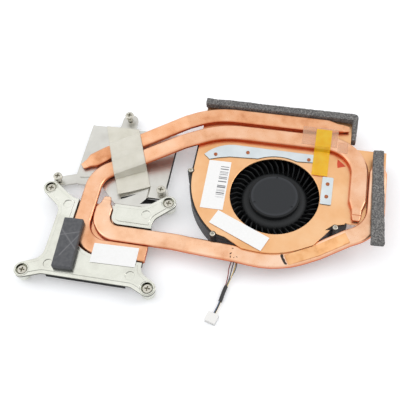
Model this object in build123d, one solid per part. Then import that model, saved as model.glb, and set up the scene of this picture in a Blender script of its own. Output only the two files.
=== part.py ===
from build123d import *
import os
from math import cos, radians, sin, tan

# Laptop cooling module in millimetres. The origin is on the fan's axis at the table that the module
# lies on. +X runs along the rear fin stack, +Y points at the rear air outlet and +Z is up.

# Fan housing
FAN_HEIGHT = 10.5  # table to the top face of the cover
COVER_SHEET = 0.8
FLOOR_SHEET = 1.0
FRAME_WALL = 1.2
FAN_LEFT = 41.5  # fan axis to the left side of the frame
FAN_RIGHT = 34.5
FAN_FRONT = 28.0
FAN_REAR = 30.0
FRONT_FLAT_FROM = 2.0  # straight stretch of the front wall
FRONT_FLAT_TO = 6.0
CUTOFF_R = 31.4  # fan axis to the two corners of the volute's cut-off
CUTOFF_FRONT_R = 29.3
CUTOFF_FROM = -47.0  # degrees round the fan's axis
CUTOFF_TO = -25.0
SIDE_OUTLET_FRONT = -11.5
VOLUTE_START_Y = 8.0
VOLUTE_R = 35.75
VOLUTE_TURN = 225.0  # degrees, where the left curve of the volute meets the front curve
VOLUTE_BULGE = 4.6
FRONT_BULGE = 1.4
COVER_INSET = 0.9
COVER_LAP = 1.7  # cover over the near edge of the front pipe
LAP_LEFT_X = -11.0
LAP_RIGHT_X = 20.6
LAP_INSET = 3.0  # the lap's ends inside the volute and its cut-off
LAP_END_INSET = 0.4
LAP_LEFT_TURN = 230.0
LAP_END_TURN = -28.7
INLET_R = 21.0
FLOOR_INLET_R = 19.0
SPOKE_WIDTH = 5.0
SPOKE_COUNT = 4
SPOKE_TURN = 45.0
MOTOR_SEAT_RIM = 1.0  # floor under the motor, beyond the hub
EAR_R = 1.55
EAR_DROP = 0.2  # ears below the cover's top face
EAR_GAP = 0.15
LEFT_EAR_OUT = 0.3
FRONT_EAR_TURN = 225.2
CUTOFF_EAR_OUT = 1.0
CUTOFF_EAR_TURN = -24.2
COVER_SCREW_HEAD_R = 1.25
COVER_SCREW_HEAD = 0.8
COVER_SCREW_R = 0.6
COVER_SCREW_LENGTH = 5.0
RECESS_SPAN = 1.15  # driver recess, in shares of the head's radius
RECESS_ARM = 0.3
RECESS_TAPER = 14.0

# Impeller and motor
HUB_R = 12.0
HUB_WALL = 0.9
HUB_DROP = 0.6  # hub top below the cover's top face
HUB_EDGE = 0.5
HUB_LIFT = 0.7  # hub's rim above the motor board
SKIRT_REACH = 3.4
SKIRT_DROP = 2.6
SKIRT_SHEET = 1.4
SKIRT_TIP = 0.8
SKIRT_SAG = 1.1
BLADE_COUNT = 41
BLADE_ROOT_R = 14.2
BLADE_TIP_R = 26.0
BLADE_SHEET = 0.5
BLADE_LEAN = 18.0  # degrees between a blade's root and its tip
BLADE_LEAN_HALFWAY = 7.5
BLADE_BURIED = 0.8  # blade's root inside the skirt
BLADE_FOOT = 1.2
BLADE_INNER_HEIGHT = 3.2
BLADE_SLOPE = 3.6
BALANCE_R = 0.6  # three shallow balance holes in the hub
BALANCE_DEPTH = 0.3
BALANCE_INSET = 1.8
BALANCE_TURNS = (90, 210, 330)
RUNNING_GAP = 1.0
SHAFT_R = 0.75
SHAFT_GAP = 0.03
SHAFT_GRIP = 0.3  # shaft's end inside the hub
SHAFT_LIFT = 0.1
BOSS_WALL = 1.2
BOSS_GAP = 0.5
SLEEVE_R = 2.0
TUBE_WALL = 0.9
TUBE_FLOOR = 0.6
TUBE_ROOM = 1.6
THRUST_SHEET = 0.3
YOKE_SHEET = 0.5
YOKE_LIFT = 0.6
MAGNET_WALL = 1.0
MAGNET_LIFT = 1.0
MAGNET_ROOM = 0.3
AIR_GAP = 0.4
POLE_COUNT = 6
POLE_WIDTH = 1.6
SHOE_WIDTH = 5.2
SHOE_SHEET = 0.9
CORE_WALL = 1.0
CORE_HALF = 1.4
COIL_SHEET = 0.8
COIL_EDGE = 0.55
COIL_ROOM = 0.3  # winding to the core's ring and shoes
BOARD_SHEET = 0.6
BOARD_MARGIN = 0.8
FIT = 0.05  # radial room between pieces that are pushed together

# Fin stacks
FIN_PITCH = 1.3
FIN_SHEET = 0.3
STACK_GAP = 0.4  # fan frame to fins
STACK_INSET = 0.3  # fins inside the edge of the cover
SIDE_STACK_LENGTH = 42.4
SIDE_STACK_REAR = 32.2
SIDE_FIN_SETBACK = 6.0  # side fins behind the front edge of the cover
SHEET_LAP = 3.0
REAR_SHEET_REACH = 2.4  # cover under the rear foam
SIDE_SHEET_INSET = 0.7
REAR_SHEET_SHORT = 1.5

# Heat pipes, each a round tube pressed flat
PIPE_WIDTH = 8.4
PIPE_THICK = 2.6
REAR_PIPE_Y = 33.0  # centre line of the inner pipe over the rear fins
SIDE_PIPE_X = 38.3  # centre line of the inner pipe over the side fins
REAR_PIPE_GAP = 1.8
SIDE_PIPE_GAP = 0.2
SEAT_PIPE_GAP = 0.25  # between the two pipes on the processor
SEAT_PIPE_LEFT = 9.1  # processor's centre to the outer pipe
SEAT_PIPE_FRONT = 6.0
SEAT_PIPE_OVERHANG = 0.8
DIAGONAL = 28.5  # degrees, the run from the chips to the rear fins
DIAGONAL_START_Y = 2.0
DIAGONAL_GAP = 2.6
RAMP_END_X = -48.5  # the pipes reach the cover's level here
RAMP_ROOM = 2.0  # straight stretch between a bend and a slope
FRONT_DROP = 1.0  # front pipe's top below the cover's top
FAN_PIPE_GAP = 0.5
FRONT_SLOPE = 28.2  # degrees, the front pipe's run past the cut-off
FRONT_APPROACH = 5.3  # degrees, the front pipe's run from the processor to the fan
FRONT_LEVEL = 20.0
SEAT_EXIT_LEVEL = 5.0
FRONT_RAMP_ROOM = 6.0
FRONT_RAMP_PAST = 0.5  # the front pipe reaches the cover's level here
GPU_PIPE_BACK = 5.0
GPU_PIPE_FOOT = (6.8, 6.1)
GPU_PIPE_SHORT = 13.3
REAR_PIPE_END = 11.6
FRONT_PIPE_SHORT = 13.5
FRONT_PIPE_START = 15.4
SEAT_BEND_R = 13.5  # bend radii on the pipes' centre lines
SEAT_INNER_BEND_R = 9.0
GPU_BEND_R = 18.0
REAR_BEND_R = 40.0
CORNER_BEND_R = 17.0
FRONT_BEND_R = 40.0
SIDE_BEND_R = 17.0
LONG_PINCH = (4.6, 3.1, 2.8)  # taper, neck and crimped tip of a sealed end
SHORT_PINCH = (2.9, 1.4, 2.2)
NECK_WIDTH = 5.1
NECK_THICK = 2.0
CRIMP_WIDTH = 4.6
CRIMP_THICK = 1.2
TIP_WIDTH = 3.2
TIP_THICK = 0.9

# Processor bracket
CPU_X = -78.9
CPU_Y = -32.7
CPU_SPAN_X = 59.0  # screw to screw
CPU_SPAN_Y = 45.2
CPU_SEAT = 5.0  # table to the underside of the pipes
BRACKET_SHEET = 1.0
BRACKET_LEFT = 22.1  # processor's centre to the bracket's sides
BRACKET_RIGHT = 24.3
BRACKET_REAR = 18.3
BRACKET_FRONT = 23.2
BRACKET_DROP = 0.4  # bracket's lands below the top of the pipes
LAND_LIP = 1.7  # lower rim pressed round the lands
LAND_RISE = 0.3
FRONT_FLANGE = 2.6
FLANGE_INSET_X = 5.0
ARM_R = 3.8
ARM_ROOT_R = 4.2
ARM_ROOT_X = 3.8  # arm's root inside the bracket's edges
ARM_ROOT_REAR = 3.8
ARM_ROOT_FRONT = 5.2
ARM_FILLET = 6.0
DIMPLE_R = 2.2
DIMPLE_DEPTH = 0.4
COLD_X = 30.0
COLD_Y = 26.0
COLD_THICK = 2.2
BLOCK_CORNER = 1.0
CHANNEL_GAP = 0.5
CHANNEL_MIN_R = 1.0
BUSH_R = 3.3
BUSH_RIM = 0.25
BUSH_WALL = 0.5
BUSH_BASE = 0.8
BUSH_BOTTOM = 2.0
BUSH_COLLAR = 0.5
BUSH_COLLAR_SHEET = 0.6
BUSH_ROOM = 0.4  # bush to the graphics plate

# Graphics chip plate
GPU_X = -80.5
GPU_Y = -4.0  # line of the two front screws
GPU_SPAN = 52.3
GPU_REACH = 42.5  # front screws to the rear screw
GPU_TOP = 4.0
GPU_SHEET = 1.2
GPU_PLATE_LEFT = 18.8  # chip centre to the plate's sides
GPU_PLATE_RIGHT = 27.4
GPU_PLATE_REAR = 36.9  # front screws to the plate's edges
GPU_PLATE_FRONT = 8.4
GPU_CORNER = 4.0
GPU_EAR_R = 2.75
GPU_EAR_ROOT = 4.0
GPU_REAR_EAR_R = 4.0
GPU_REAR_FILLET = 2.0
GPU_LIFT = 1.2  # right ear is pressed up by this much
GPU_LIFT_R = 3.3
GPU_LIFT_RUN = 6.0
GPU_LIFT_RAMP = 1.1
GPU_SLIT = 0.3
GPU_SLIT_LEFT = 3.4
GPU_SLIT_FRONT = 6.9
GPU_SLIT_END = 4.6
GPU_FLANGE = 3.0
GPU_BEAD_LENGTH = 7.5
GPU_BEAD_WIDTH = 1.0
GPU_BEAD_RISE = 0.5
GPU_BEAD_X = -13.0  # from the chip's centre and the line of the front screws
GPU_BEAD_Y = 4.8
GPU_BEAD_TURN = 9.0
GPU_BLOCK = 20.0
GPU_BLOCK_THICK = 1.3

# Captive screws
HEAD_R = 2.2
HEAD_THICK = 1.7
HEAD_EDGE = 0.4
RECESS_DEPTH = 1.0
NECK_R = 1.0
THREAD_R = 1.25
THREAD_LENGTH = 1.2
THREAD_EDGE = 0.25
HOLE_R = 1.4
GROOVE_R = 0.75
RING_R = 2.0
RING_SHEET = 0.35
RING_PLAY = 0.06
RING_MOUTH = 1.3
CPU_SCREW_TOP = 6.9
GPU_SCREW_TOP = 8.9

# Soft and thin pieces
FOAM_GAP = 0.3  # rear foam to the outer pipe
FOAM_REAR_DEPTH = 3.8
FOAM_REAR_HEIGHT = 3.6
FOAM_END_GAP = 0.1
FOAM_END_SHEET = 2.3
FOAM_CORNER = 2.0
FOAM_WRAP_REACH = 10.0
FOAM_WRAP_DROP = 4.0
FOAM_SIDE_WIDTH = 4.0
FOAM_SIDE_HEIGHT = 2.7
FOAM_SIDE_LENGTH = 51.0
FOAM_SIDE_STEP = 0.5  # foam's middle from the outer pipe's centre line
FOAM_SIDE_TURN = 4.0
FOAM_SIDE_SHORT = 2.7
PAD_X = -11.4  # from the processor's centre
PAD_Y = -8.2
PAD_WIDTH = 9.3
PAD_LENGTH = 27.4
PAD_THICK = 3.2
PAD_TURN = 2.4
PAD_EDGE = 0.5
LABEL_SHEET = 0.15
BARCODE_PLACE = (-28.3, 1.7)
BARCODE_SIZE = (10.8, 27.5)
BARCODE_TURN = 0.5
COVER_LABEL_PLACE = (-13.5, -21.6)
COVER_LABEL_SIZE = (27.8, 7.8)
COVER_LABEL_TURN = -23.5
PIPE_LABEL_PLACE = (11.0, -3.1)  # from the processor's centre and the outer pipe's centre line
PIPE_LABEL_SIZE = (21.2, 9.9)
PIPE_LABEL_TURN = 1.5
TAPE_SHEET = 0.12
CLEAR_FROM_X = 9.2
CLEAR_TO_X = 26.5
CLEAR_NEAR = 1.2  # tape's edges inside the two pipes
CLEAR_FAR = 2.2
AMBER_X = -5.2  # tape's left edge from the inlet's right side
AMBER_Y = -7.0
AMBER_WIDTH = 7.6
AMBER_FLARE = 0.6
AMBER_ROUND = 0.9
AMBER_FAR = 11.4
CORNER_TAPE_PLACE = (-5.2, -2.6)  # from the fan's right side and the inner pipe's centre line
CORNER_TAPE_SIZE = (5.0, 6.4)
FILM_SHEET = 0.2
FILM_WIDTH = 16.0
FILM_X = -81.0
FILM_TURN = 6.5  # degrees off square to the pipes
FILM_ROOM = 0.4  # film above the pipes that it lies over
FILM_FLOAT = 0.3
FILM_SIDE = 0.5
FILM_ROUND = 1.4
FILM_SHOULDER = 0.5
FILM_FLARE = 0.7
FILM_REAR_REACH = 13.0
FILM_FRONT_REACH = 8.5
SKIN_GAP = 0.05  # glue line under labels and tapes
STRIP_SHEET = 0.4
STRIP_GAP = 1.2  # strip to the inlet's rim
STRIP_CORNERS = [  # x from the fan's axis, y from the inlet's rear side
    (-22.0, 5.1),
    (20.0, 4.7),
    (20.0, 0.4),
    (-24.3, -2.3),
    (-30.3, -3.8),
    (-34.0, -5.2),
    (-37.0, -2.6),
]
STRIP_CROWN = (-31.5, 2.5)  # on the curve between the last corner and the first
CLIP_SIZE = (5.2, 15.4)
CLIP_CORNER = 0.6
CLIP_PLACE = (2.9, 6.0)  # from the inlet's right side
CLIP_GAP = 0.4
RIVET_R = 0.9
RIVET_HEAD = 0.25
STRIP_RIVETS = [(-31.5, -2.0), (-16.0, 1.3), (13.8, 1.4)]  # from the inlet's rear side
CLIP_RIVETS = [(3.0, 9.7), (3.0, 2.6)]  # from the inlet's right side
TONGUE_SHEET = 0.35
TONGUE_START = 3.5
TONGUE_STEP = -0.35
TONGUE_LIFT = 0.15
TONGUE_INSET = 3.2

# Fan lead
LEAD_D = 1.3
LEAD_ROOM = 0.2
LEAD_SLOT = (1.0, 4.0)  # slot in the frame's wall, in front of and behind the lead's first point
SLEEVE_D = 1.75
SLEEVE_SPAN = (0.56, 0.8)  # share of the lead's length
LEAD_ROUTE = [
    (-13.2, -27.9, 3.3),
    (-13.6, -36.0, 3.0),
    (-14.6, -42.5, 1.4),
    (-16.2, -48.5, 1.05),
    (-17.0, -54.5, 1.05),
    (-18.6, -60.0, 1.05),
]
BEND_SHARE = 0.45
CONNECTOR_SIZE = (5.2, 4.6, 2.6)
CONNECTOR_EDGE = 0.4
CONNECTOR_WAYS = 4
CONTACT_PITCH = 1.04
CONTACT_SIZE = (0.6, 4.0, 0.8)

PAST = 2.0  # cuts reach this far past what they cut

COVER_BOTTOM = FAN_HEIGHT - COVER_SHEET
EAR_TOP = FAN_HEIGHT - EAR_DROP
FIN_PIPE_Z = FAN_HEIGHT + PIPE_THICK / 2
SEAT_PIPE_Z = CPU_SEAT + PIPE_THICK / 2
FRONT_PIPE_Z = FAN_HEIGHT - FRONT_DROP - PIPE_THICK / 2
PIPE_TOP = FAN_HEIGHT + PIPE_THICK
SEAT_TOP = CPU_SEAT + PIPE_THICK
HALF_PIPE = PIPE_WIDTH / 2

REAR_OUTER_Y = REAR_PIPE_Y + PIPE_WIDTH + REAR_PIPE_GAP
SIDE_OUTER_X = SIDE_PIPE_X + PIPE_WIDTH + SIDE_PIPE_GAP
FOAM_REAR_FRONT = REAR_OUTER_Y + HALF_PIPE + FOAM_GAP
SHEET_REAR = FOAM_REAR_FRONT + REAR_SHEET_REACH
SHEET_SIDE = SIDE_OUTER_X + HALF_PIPE - SIDE_SHEET_INSET
SHEET_REAR_RIGHT = FAN_RIGHT - REAR_SHEET_SHORT
SIDE_STACK_FRONT = SIDE_STACK_REAR - SIDE_STACK_LENGTH

LEFT_PIPE_X = CPU_X - SEAT_PIPE_LEFT
LEFT_INNER_X = LEFT_PIPE_X + PIPE_WIDTH + SEAT_PIPE_GAP
SEAT_OUTER_Y = CPU_Y - SEAT_PIPE_FRONT
SEAT_INNER_Y = SEAT_OUTER_Y + PIPE_WIDTH + SEAT_PIPE_GAP

GPU_LEFT = GPU_X - GPU_PLATE_LEFT
GPU_RIGHT = GPU_X + GPU_PLATE_RIGHT
GPU_REAR = GPU_Y + GPU_PLATE_REAR
GPU_FRONT = GPU_Y - GPU_PLATE_FRONT
GPU_BOTTOM = GPU_TOP - GPU_SHEET

BRACKET_TOP = SEAT_TOP - BRACKET_DROP
BRACKET_BASE = CPU_SEAT - BRACKET_SHEET
EDGE_LEFT = CPU_X - BRACKET_LEFT
EDGE_RIGHT = CPU_X + BRACKET_RIGHT
EDGE_REAR = CPU_Y + BRACKET_REAR
EDGE_FRONT = CPU_Y - BRACKET_FRONT

FRONT_TURN = FRONT_SLOPE + FRONT_APPROACH
FRONT_BEND_INSET = FRONT_BEND_R * (1 / cos(radians(FRONT_TURN / 2)) - 1)
FRONT_BEND = (FRONT_FLAT_TO, -FAN_FRONT - FAN_PIPE_GAP - HALF_PIPE - FRONT_BEND_INSET)


def polar(radius, angle):
    return (radius * cos(radians(angle)), radius * sin(radians(angle)))


def slab(sketch, bottom, top):
    """A flat sketch raised between two heights."""
    return Pos(0, 0, bottom) * extrude(sketch, top - bottom)


def disc(x, y, radius, bottom, top):
    return slab(Pos(x, y) * Circle(radius), bottom, top)


def ring(x, y, outer, inner, bottom, top):
    return slab(Pos(x, y) * (Circle(outer) - Circle(inner)), bottom, top)


def box_between(low, high):
    size = [b - a for a, b in zip(low, high)]
    middle = [(a + b) / 2 for a, b in zip(low, high)]
    return Pos(*middle) * Box(*size)


def plate(x0, x1, y0, y1):
    return Pos((x0 + x1) / 2, (y0 + y1) / 2) * Rectangle(x1 - x0, y1 - y0)


def rounded_hull(x, y, radius, root_x, root_y, root_r):
    """Plan of an arm or ear: the hull of a round end and a round root."""
    ends = [Pos(x, y) * Circle(radius), Pos(root_x, root_y) * Circle(root_r)]
    return make_hull((Sketch() + ends).edges())


# Fan housing

VOLUTE_CORNER = polar(VOLUTE_R, VOLUTE_TURN)
EAR_SPOTS = [
    (-FAN_LEFT - LEFT_EAR_OUT, VOLUTE_START_Y),
    polar(VOLUTE_R, FRONT_EAR_TURN),
    polar(CUTOFF_R + CUTOFF_EAR_OUT, CUTOFF_EAR_TURN),
]


def fan_outline():
    """Plan of the frame: straight left side, volute widening to the left, sloped front right side."""
    left_rear = (-FAN_LEFT, FAN_REAR)
    left_front = (-FAN_LEFT, VOLUTE_START_Y)
    front = (FRONT_FLAT_FROM, -FAN_FRONT)
    edges = [
        Line(left_rear, left_front),
        SagittaArc(left_front, VOLUTE_CORNER, -VOLUTE_BULGE),
        SagittaArc(VOLUTE_CORNER, front, -FRONT_BULGE),
        Polyline(
            front,
            (FRONT_FLAT_TO, -FAN_FRONT),
            polar(CUTOFF_FRONT_R, CUTOFF_FROM),
            polar(CUTOFF_R, CUTOFF_TO),
            (FAN_RIGHT, SIDE_OUTLET_FRONT),
            (FAN_RIGHT, FAN_REAR),
            left_rear,
        ),
    ]
    return make_face(Curve() + edges)


def fan_frame():
    """Moulded tray: floor with spoked inlet, volute wall, bearing tube and screw ears."""
    outline = fan_outline()
    wall = outline - offset(outline, -FRAME_WALL)
    inner_rear = FAN_REAR - FRAME_WALL - PAST
    inner_right = FAN_RIGHT - FRAME_WALL - PAST
    wall -= plate(-FAN_LEFT + FRAME_WALL, FAN_RIGHT + PAST, inner_rear, FAN_REAR + PAST)
    wall -= plate(inner_right, FAN_RIGHT + PAST, SIDE_OUTLET_FRONT + FRAME_WALL, FAN_REAR + PAST)
    window = Circle(FLOOR_INLET_R) - Circle(HUB_R + MOTOR_SEAT_RIM)
    for index in range(SPOKE_COUNT):
        angle = SPOKE_TURN + 360 / SPOKE_COUNT * index
        window -= Rot(0, 0, angle) * Pos(FLOOR_INLET_R, 0) * Rectangle(2 * FLOOR_INLET_R, SPOKE_WIDTH)
    frame = slab(outline - window, 0, FLOOR_SHEET)
    frame += slab(wall, 0, COVER_BOTTOM)
    for x, y in EAR_SPOTS:
        frame += disc(x, y, EAR_R, 0, EAR_TOP)
        frame -= disc(x, y, COVER_SCREW_R + FIT, EAR_TOP - COVER_SCREW_LENGTH, EAR_TOP)
    frame += disc(0, 0, SLEEVE_R + FIT + TUBE_WALL, 0, TUBE_TOP)
    frame -= disc(0, 0, SLEEVE_R + FIT, TUBE_FLOOR, TUBE_TOP)
    lead_x, lead_y, lead_z = LEAD_ROUTE[0]
    exit_r = LEAD_D / 2 + LEAD_ROOM
    frame -= box_between(
        (lead_x - exit_r, lead_y - LEAD_SLOT[0], FLOOR_SHEET),
        (lead_x + exit_r, lead_y + LEAD_SLOT[1], lead_z + exit_r),
    )
    return frame


def front_lap():
    """Part of the cover that reaches over the front pipe's near edge."""
    reach = HALF_PIPE - COVER_LAP
    corner_step = polar(reach / cos(radians(FRONT_TURN / 2)), 90 + (FRONT_SLOPE - FRONT_APPROACH) / 2)
    corner_x = FRONT_BEND[0] + corner_step[0]
    corner_y = FRONT_BEND[1] + corner_step[1]
    shape = make_face(
        Polyline(
            polar(VOLUTE_R - LAP_INSET, LAP_LEFT_TURN),
            (LAP_LEFT_X, corner_y + (corner_x - LAP_LEFT_X) * tan(radians(FRONT_APPROACH))),
            (corner_x, corner_y),
            (LAP_RIGHT_X, corner_y + (LAP_RIGHT_X - corner_x) * tan(radians(FRONT_SLOPE))),
            polar(CUTOFF_R - LAP_END_INSET, LAP_END_TURN),
            close=True,
        )
    )
    return fillet(shape.vertices().sort_by(Axis.Y)[:1], FRONT_BEND_R - reach)


def fan_cover():
    """Copper-coloured sheet over the fan that runs on over both fin stacks."""
    sheet = offset(fan_outline(), -COVER_INSET)
    sheet += front_lap()
    sheet += plate(-FAN_LEFT + COVER_INSET, SHEET_REAR_RIGHT, FAN_REAR - SHEET_LAP, SHEET_REAR)
    sheet += plate(FAN_RIGHT - SHEET_LAP, SHEET_SIDE, SIDE_STACK_FRONT, SIDE_STACK_REAR)
    sheet -= Circle(INLET_R)
    for x, y in EAR_SPOTS:
        sheet -= Pos(x, y) * Circle(EAR_R + EAR_GAP)
    cover = slab(sheet, COVER_BOTTOM, FAN_HEIGHT)
    rim = cover.edges().filter_by(GeomType.CIRCLE).filter_by(lambda e: abs(e.radius - INLET_R) < FIT)
    return fillet(rim.sort_by(Axis.Z)[-1:], COVER_SHEET / 2)


def cover_screws():
    screws = []
    for x, y in EAR_SPOTS:
        top = EAR_TOP + COVER_SCREW_HEAD
        screw = disc(x, y, COVER_SCREW_HEAD_R, EAR_TOP, top)
        screw = fillet(screw.edges().sort_by(Axis.Z)[-1:], COVER_SCREW_HEAD / 2)
        screw -= cross_recess(x, y, COVER_SCREW_HEAD_R, top, COVER_SCREW_HEAD / 2)
        screw += disc(x, y, COVER_SCREW_R, EAR_TOP - COVER_SCREW_LENGTH, EAR_TOP)
        screws.append(screw)
    return screws


def cross_recess(x, y, head_r, top, depth):
    """Four-armed driver recess that narrows downwards."""
    span = head_r * RECESS_SPAN
    arm = head_r * RECESS_ARM
    return Pos(x, y, top) * extrude(Rectangle(span, arm) + Rectangle(arm, span), -depth, taper=RECESS_TAPER)


# Impeller and motor

HUB_TOP = FAN_HEIGHT - HUB_DROP
HUB_CEILING = HUB_TOP - HUB_WALL
HUB_BOTTOM = FLOOR_SHEET + BOARD_SHEET + HUB_LIFT
SKIRT_R = BLADE_ROOT_R + SKIRT_REACH
SKIRT_TOP = HUB_TOP - SKIRT_DROP
BLADE_BOTTOM = FLOOR_SHEET + RUNNING_GAP
BLADE_TOP = COVER_BOTTOM - RUNNING_GAP
BOSS_R = SHAFT_R + BOSS_WALL
TUBE_TOP = HUB_CEILING - YOKE_SHEET - TUBE_ROOM
YOKE_R = HUB_R - HUB_WALL - FIT
MAGNET_R = YOKE_R - YOKE_SHEET - FIT
STATOR_R = MAGNET_R - MAGNET_WALL - AIR_GAP
CORE_BORE = SLEEVE_R + FIT + TUBE_WALL + FIT
CORE_MIDDLE = (FLOOR_SHEET + BOARD_SHEET + HUB_CEILING - YOKE_SHEET) / 2


def impeller():
    """Moulded hub cup with a flared skirt that carries the blades."""
    inner_r = HUB_R - HUB_WALL
    skirt_low = SKIRT_TOP - SKIRT_SHEET
    tip_top = BLADE_BOTTOM + SKIRT_TIP
    cup = Polyline(
        (0, HUB_CEILING),
        (inner_r, HUB_CEILING),
        (inner_r, HUB_BOTTOM),
        (HUB_R, HUB_BOTTOM),
        (HUB_R, skirt_low),
    )
    under = SagittaArc((HUB_R, skirt_low), (SKIRT_R, BLADE_BOTTOM), SKIRT_SAG)
    tip = Line((SKIRT_R, BLADE_BOTTOM), (SKIRT_R, tip_top))
    over = SagittaArc((SKIRT_R, tip_top), (HUB_R, SKIRT_TOP), -SKIRT_SAG)
    crown = Polyline((HUB_R, SKIRT_TOP), (HUB_R, HUB_TOP), (0, HUB_TOP), (0, HUB_CEILING))
    body = revolve(Plane.XZ * make_face(Curve() + [cup, under, tip, over, crown]), Axis.Z)
    body = fillet(body.edges().filter_by(GeomType.CIRCLE).group_by(Axis.Z)[-1], HUB_EDGE)
    body += disc(0, 0, BOSS_R, TUBE_TOP + BOSS_GAP, HUB_CEILING)
    body -= disc(0, 0, SHAFT_R, TUBE_TOP + BOSS_GAP, HUB_CEILING + SHAFT_GRIP)
    for angle in BALANCE_TURNS:
        x, y = polar(HUB_R - BALANCE_INSET, angle)
        body -= disc(x, y, BALANCE_R, HUB_TOP - BALANCE_DEPTH, HUB_TOP)
    blade = impeller_blade()
    for index in range(BLADE_COUNT):
        body += Rot(0, 0, 360 / BLADE_COUNT * index) * blade
    return body


def impeller_blade():
    """One thin curved blade, trimmed to a sloping inner corner."""
    line = ThreePointArc(
        polar(BLADE_ROOT_R - BLADE_BURIED, 0),
        polar((BLADE_ROOT_R + BLADE_TIP_R) / 2, BLADE_LEAN_HALFWAY),
        polar(BLADE_TIP_R, BLADE_LEAN),
    )
    blade = slab(trace(line, BLADE_SHEET), BLADE_BOTTOM, BLADE_TOP)
    side = Polyline(
        (BLADE_ROOT_R, BLADE_BOTTOM + BLADE_FOOT),
        (SKIRT_R - BLADE_SHEET, BLADE_BOTTOM),
        (BLADE_TIP_R, BLADE_BOTTOM),
        (BLADE_TIP_R, BLADE_TOP),
        (BLADE_ROOT_R + BLADE_SLOPE, BLADE_TOP),
        (BLADE_ROOT_R, BLADE_BOTTOM + BLADE_INNER_HEIGHT),
        close=True,
    )
    return blade & revolve(Plane.XZ * make_face(side), Axis.Z)


def rotor_yoke():
    bottom = HUB_BOTTOM + YOKE_LIFT
    cup = disc(0, 0, YOKE_R, bottom, HUB_CEILING)
    cup -= disc(0, 0, YOKE_R - YOKE_SHEET, bottom, HUB_CEILING - YOKE_SHEET)
    cup -= disc(0, 0, BOSS_R + FIT, HUB_CEILING - YOKE_SHEET, HUB_CEILING)
    return cup


def magnet_ring():
    top = HUB_CEILING - YOKE_SHEET - MAGNET_ROOM
    return ring(0, 0, MAGNET_R, MAGNET_R - MAGNET_WALL, HUB_BOTTOM + MAGNET_LIFT, top)


def rotor_shaft():
    shaft = disc(0, 0, SHAFT_R, TUBE_FLOOR + THRUST_SHEET + SHAFT_LIFT, HUB_CEILING + SHAFT_GRIP)
    return fillet(shaft.edges().sort_by(Axis.Z)[:1], SHAFT_R / 2)


def bearing_sleeve():
    return ring(0, 0, SLEEVE_R, SHAFT_R + SHAFT_GAP, TUBE_FLOOR + THRUST_SHEET, TUBE_TOP)


def thrust_washer():
    return disc(0, 0, SLEEVE_R, TUBE_FLOOR, TUBE_FLOOR + THRUST_SHEET)


def pole_turns():
    return [360 / POLE_COUNT * index for index in range(POLE_COUNT)]


def stator_core():
    """Stack of laminations: a ring on the bearing tube with T-shaped poles."""
    half_pole = POLE_WIDTH / 2
    half_shoe = SHOE_WIDTH / 2
    rim = Circle(STATOR_R) - Circle(STATOR_R - SHOE_SHEET)
    shape = Circle(CORE_BORE + CORE_WALL)
    for angle in pole_turns():
        shape += Rot(0, 0, angle) * plate(CORE_BORE, STATOR_R - SHOE_SHEET / 2, -half_pole, half_pole)
        shape += Rot(0, 0, angle) * (rim & plate(0, STATOR_R, -half_shoe, half_shoe))
    shape -= Circle(CORE_BORE)
    return slab(shape, CORE_MIDDLE - CORE_HALF, CORE_MIDDLE + CORE_HALF)


def stator_coils():
    """One winding round each pole."""
    inner = CORE_BORE + CORE_WALL + COIL_ROOM
    outer = STATOR_R - SHOE_SHEET - COIL_ROOM
    half = POLE_WIDTH / 2 + FIT
    high = CORE_HALF + FIT
    block = box_between(
        (inner, -half - COIL_SHEET, CORE_MIDDLE - high - COIL_SHEET),
        (outer, half + COIL_SHEET, CORE_MIDDLE + high + COIL_SHEET),
    )
    block = fillet(block.edges().filter_by(Axis.X), COIL_EDGE)
    coil = block - box_between((inner, -half, CORE_MIDDLE - high), (outer, half, CORE_MIDDLE + high))
    return [Rot(0, 0, angle) * coil for angle in pole_turns()]


def motor_board():
    outer = HUB_R - HUB_WALL - BOARD_MARGIN
    return ring(0, 0, outer, CORE_BORE, FLOOR_SHEET, FLOOR_SHEET + BOARD_SHEET)


# Fin stacks


def fin_profile(length, height):
    """Closed-end view of folded fins: thin walls between a top and a bottom flange."""
    count = int(length / FIN_PITCH)
    pitch = (length - FIN_SHEET) / count
    profile = plate(0, length, 0, height)
    for index in range(count):
        start = FIN_SHEET + pitch * index
        profile -= plate(start, start + pitch - FIN_SHEET, FIN_SHEET, height - FIN_SHEET)
    return profile


def rear_fin_stack():
    left = -FAN_LEFT + COVER_INSET + STACK_INSET
    length = SHEET_REAR_RIGHT - STACK_INSET - left
    front = FAN_REAR + STACK_GAP
    depth = SHEET_REAR - STACK_INSET - front
    fins = extrude(Plane.XZ * fin_profile(length, COVER_BOTTOM), -depth)
    return Pos(left, front, 0) * fins


def side_fin_stack():
    left = FAN_RIGHT + STACK_GAP
    depth = SHEET_SIDE - STACK_INSET - left
    front = SIDE_STACK_FRONT + SIDE_FIN_SETBACK
    length = SIDE_STACK_REAR - STACK_INSET - front
    fins = extrude(Plane.YZ * fin_profile(length, COVER_BOTTOM), depth)
    return Pos(left, front, 0) * fins


# Heat pipes


def diagonal_start(side_step):
    """Start of the diagonal run, moved sideways towards the rear by side_step."""
    step_x, step_y = polar(side_step, DIAGONAL + 90)
    return (LEFT_PIPE_X + step_x, DIAGONAL_START_Y + step_y)


def on_diagonal(x, side_step):
    start_x, start_y = diagonal_start(side_step)
    return (x, start_y + (x - start_x) * tan(radians(DIAGONAL)))


def diagonal_meets(y, side_step):
    """X where that run reaches the line at y."""
    start_x, start_y = diagonal_start(side_step)
    return start_x + (y - start_y) / tan(radians(DIAGONAL))


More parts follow.
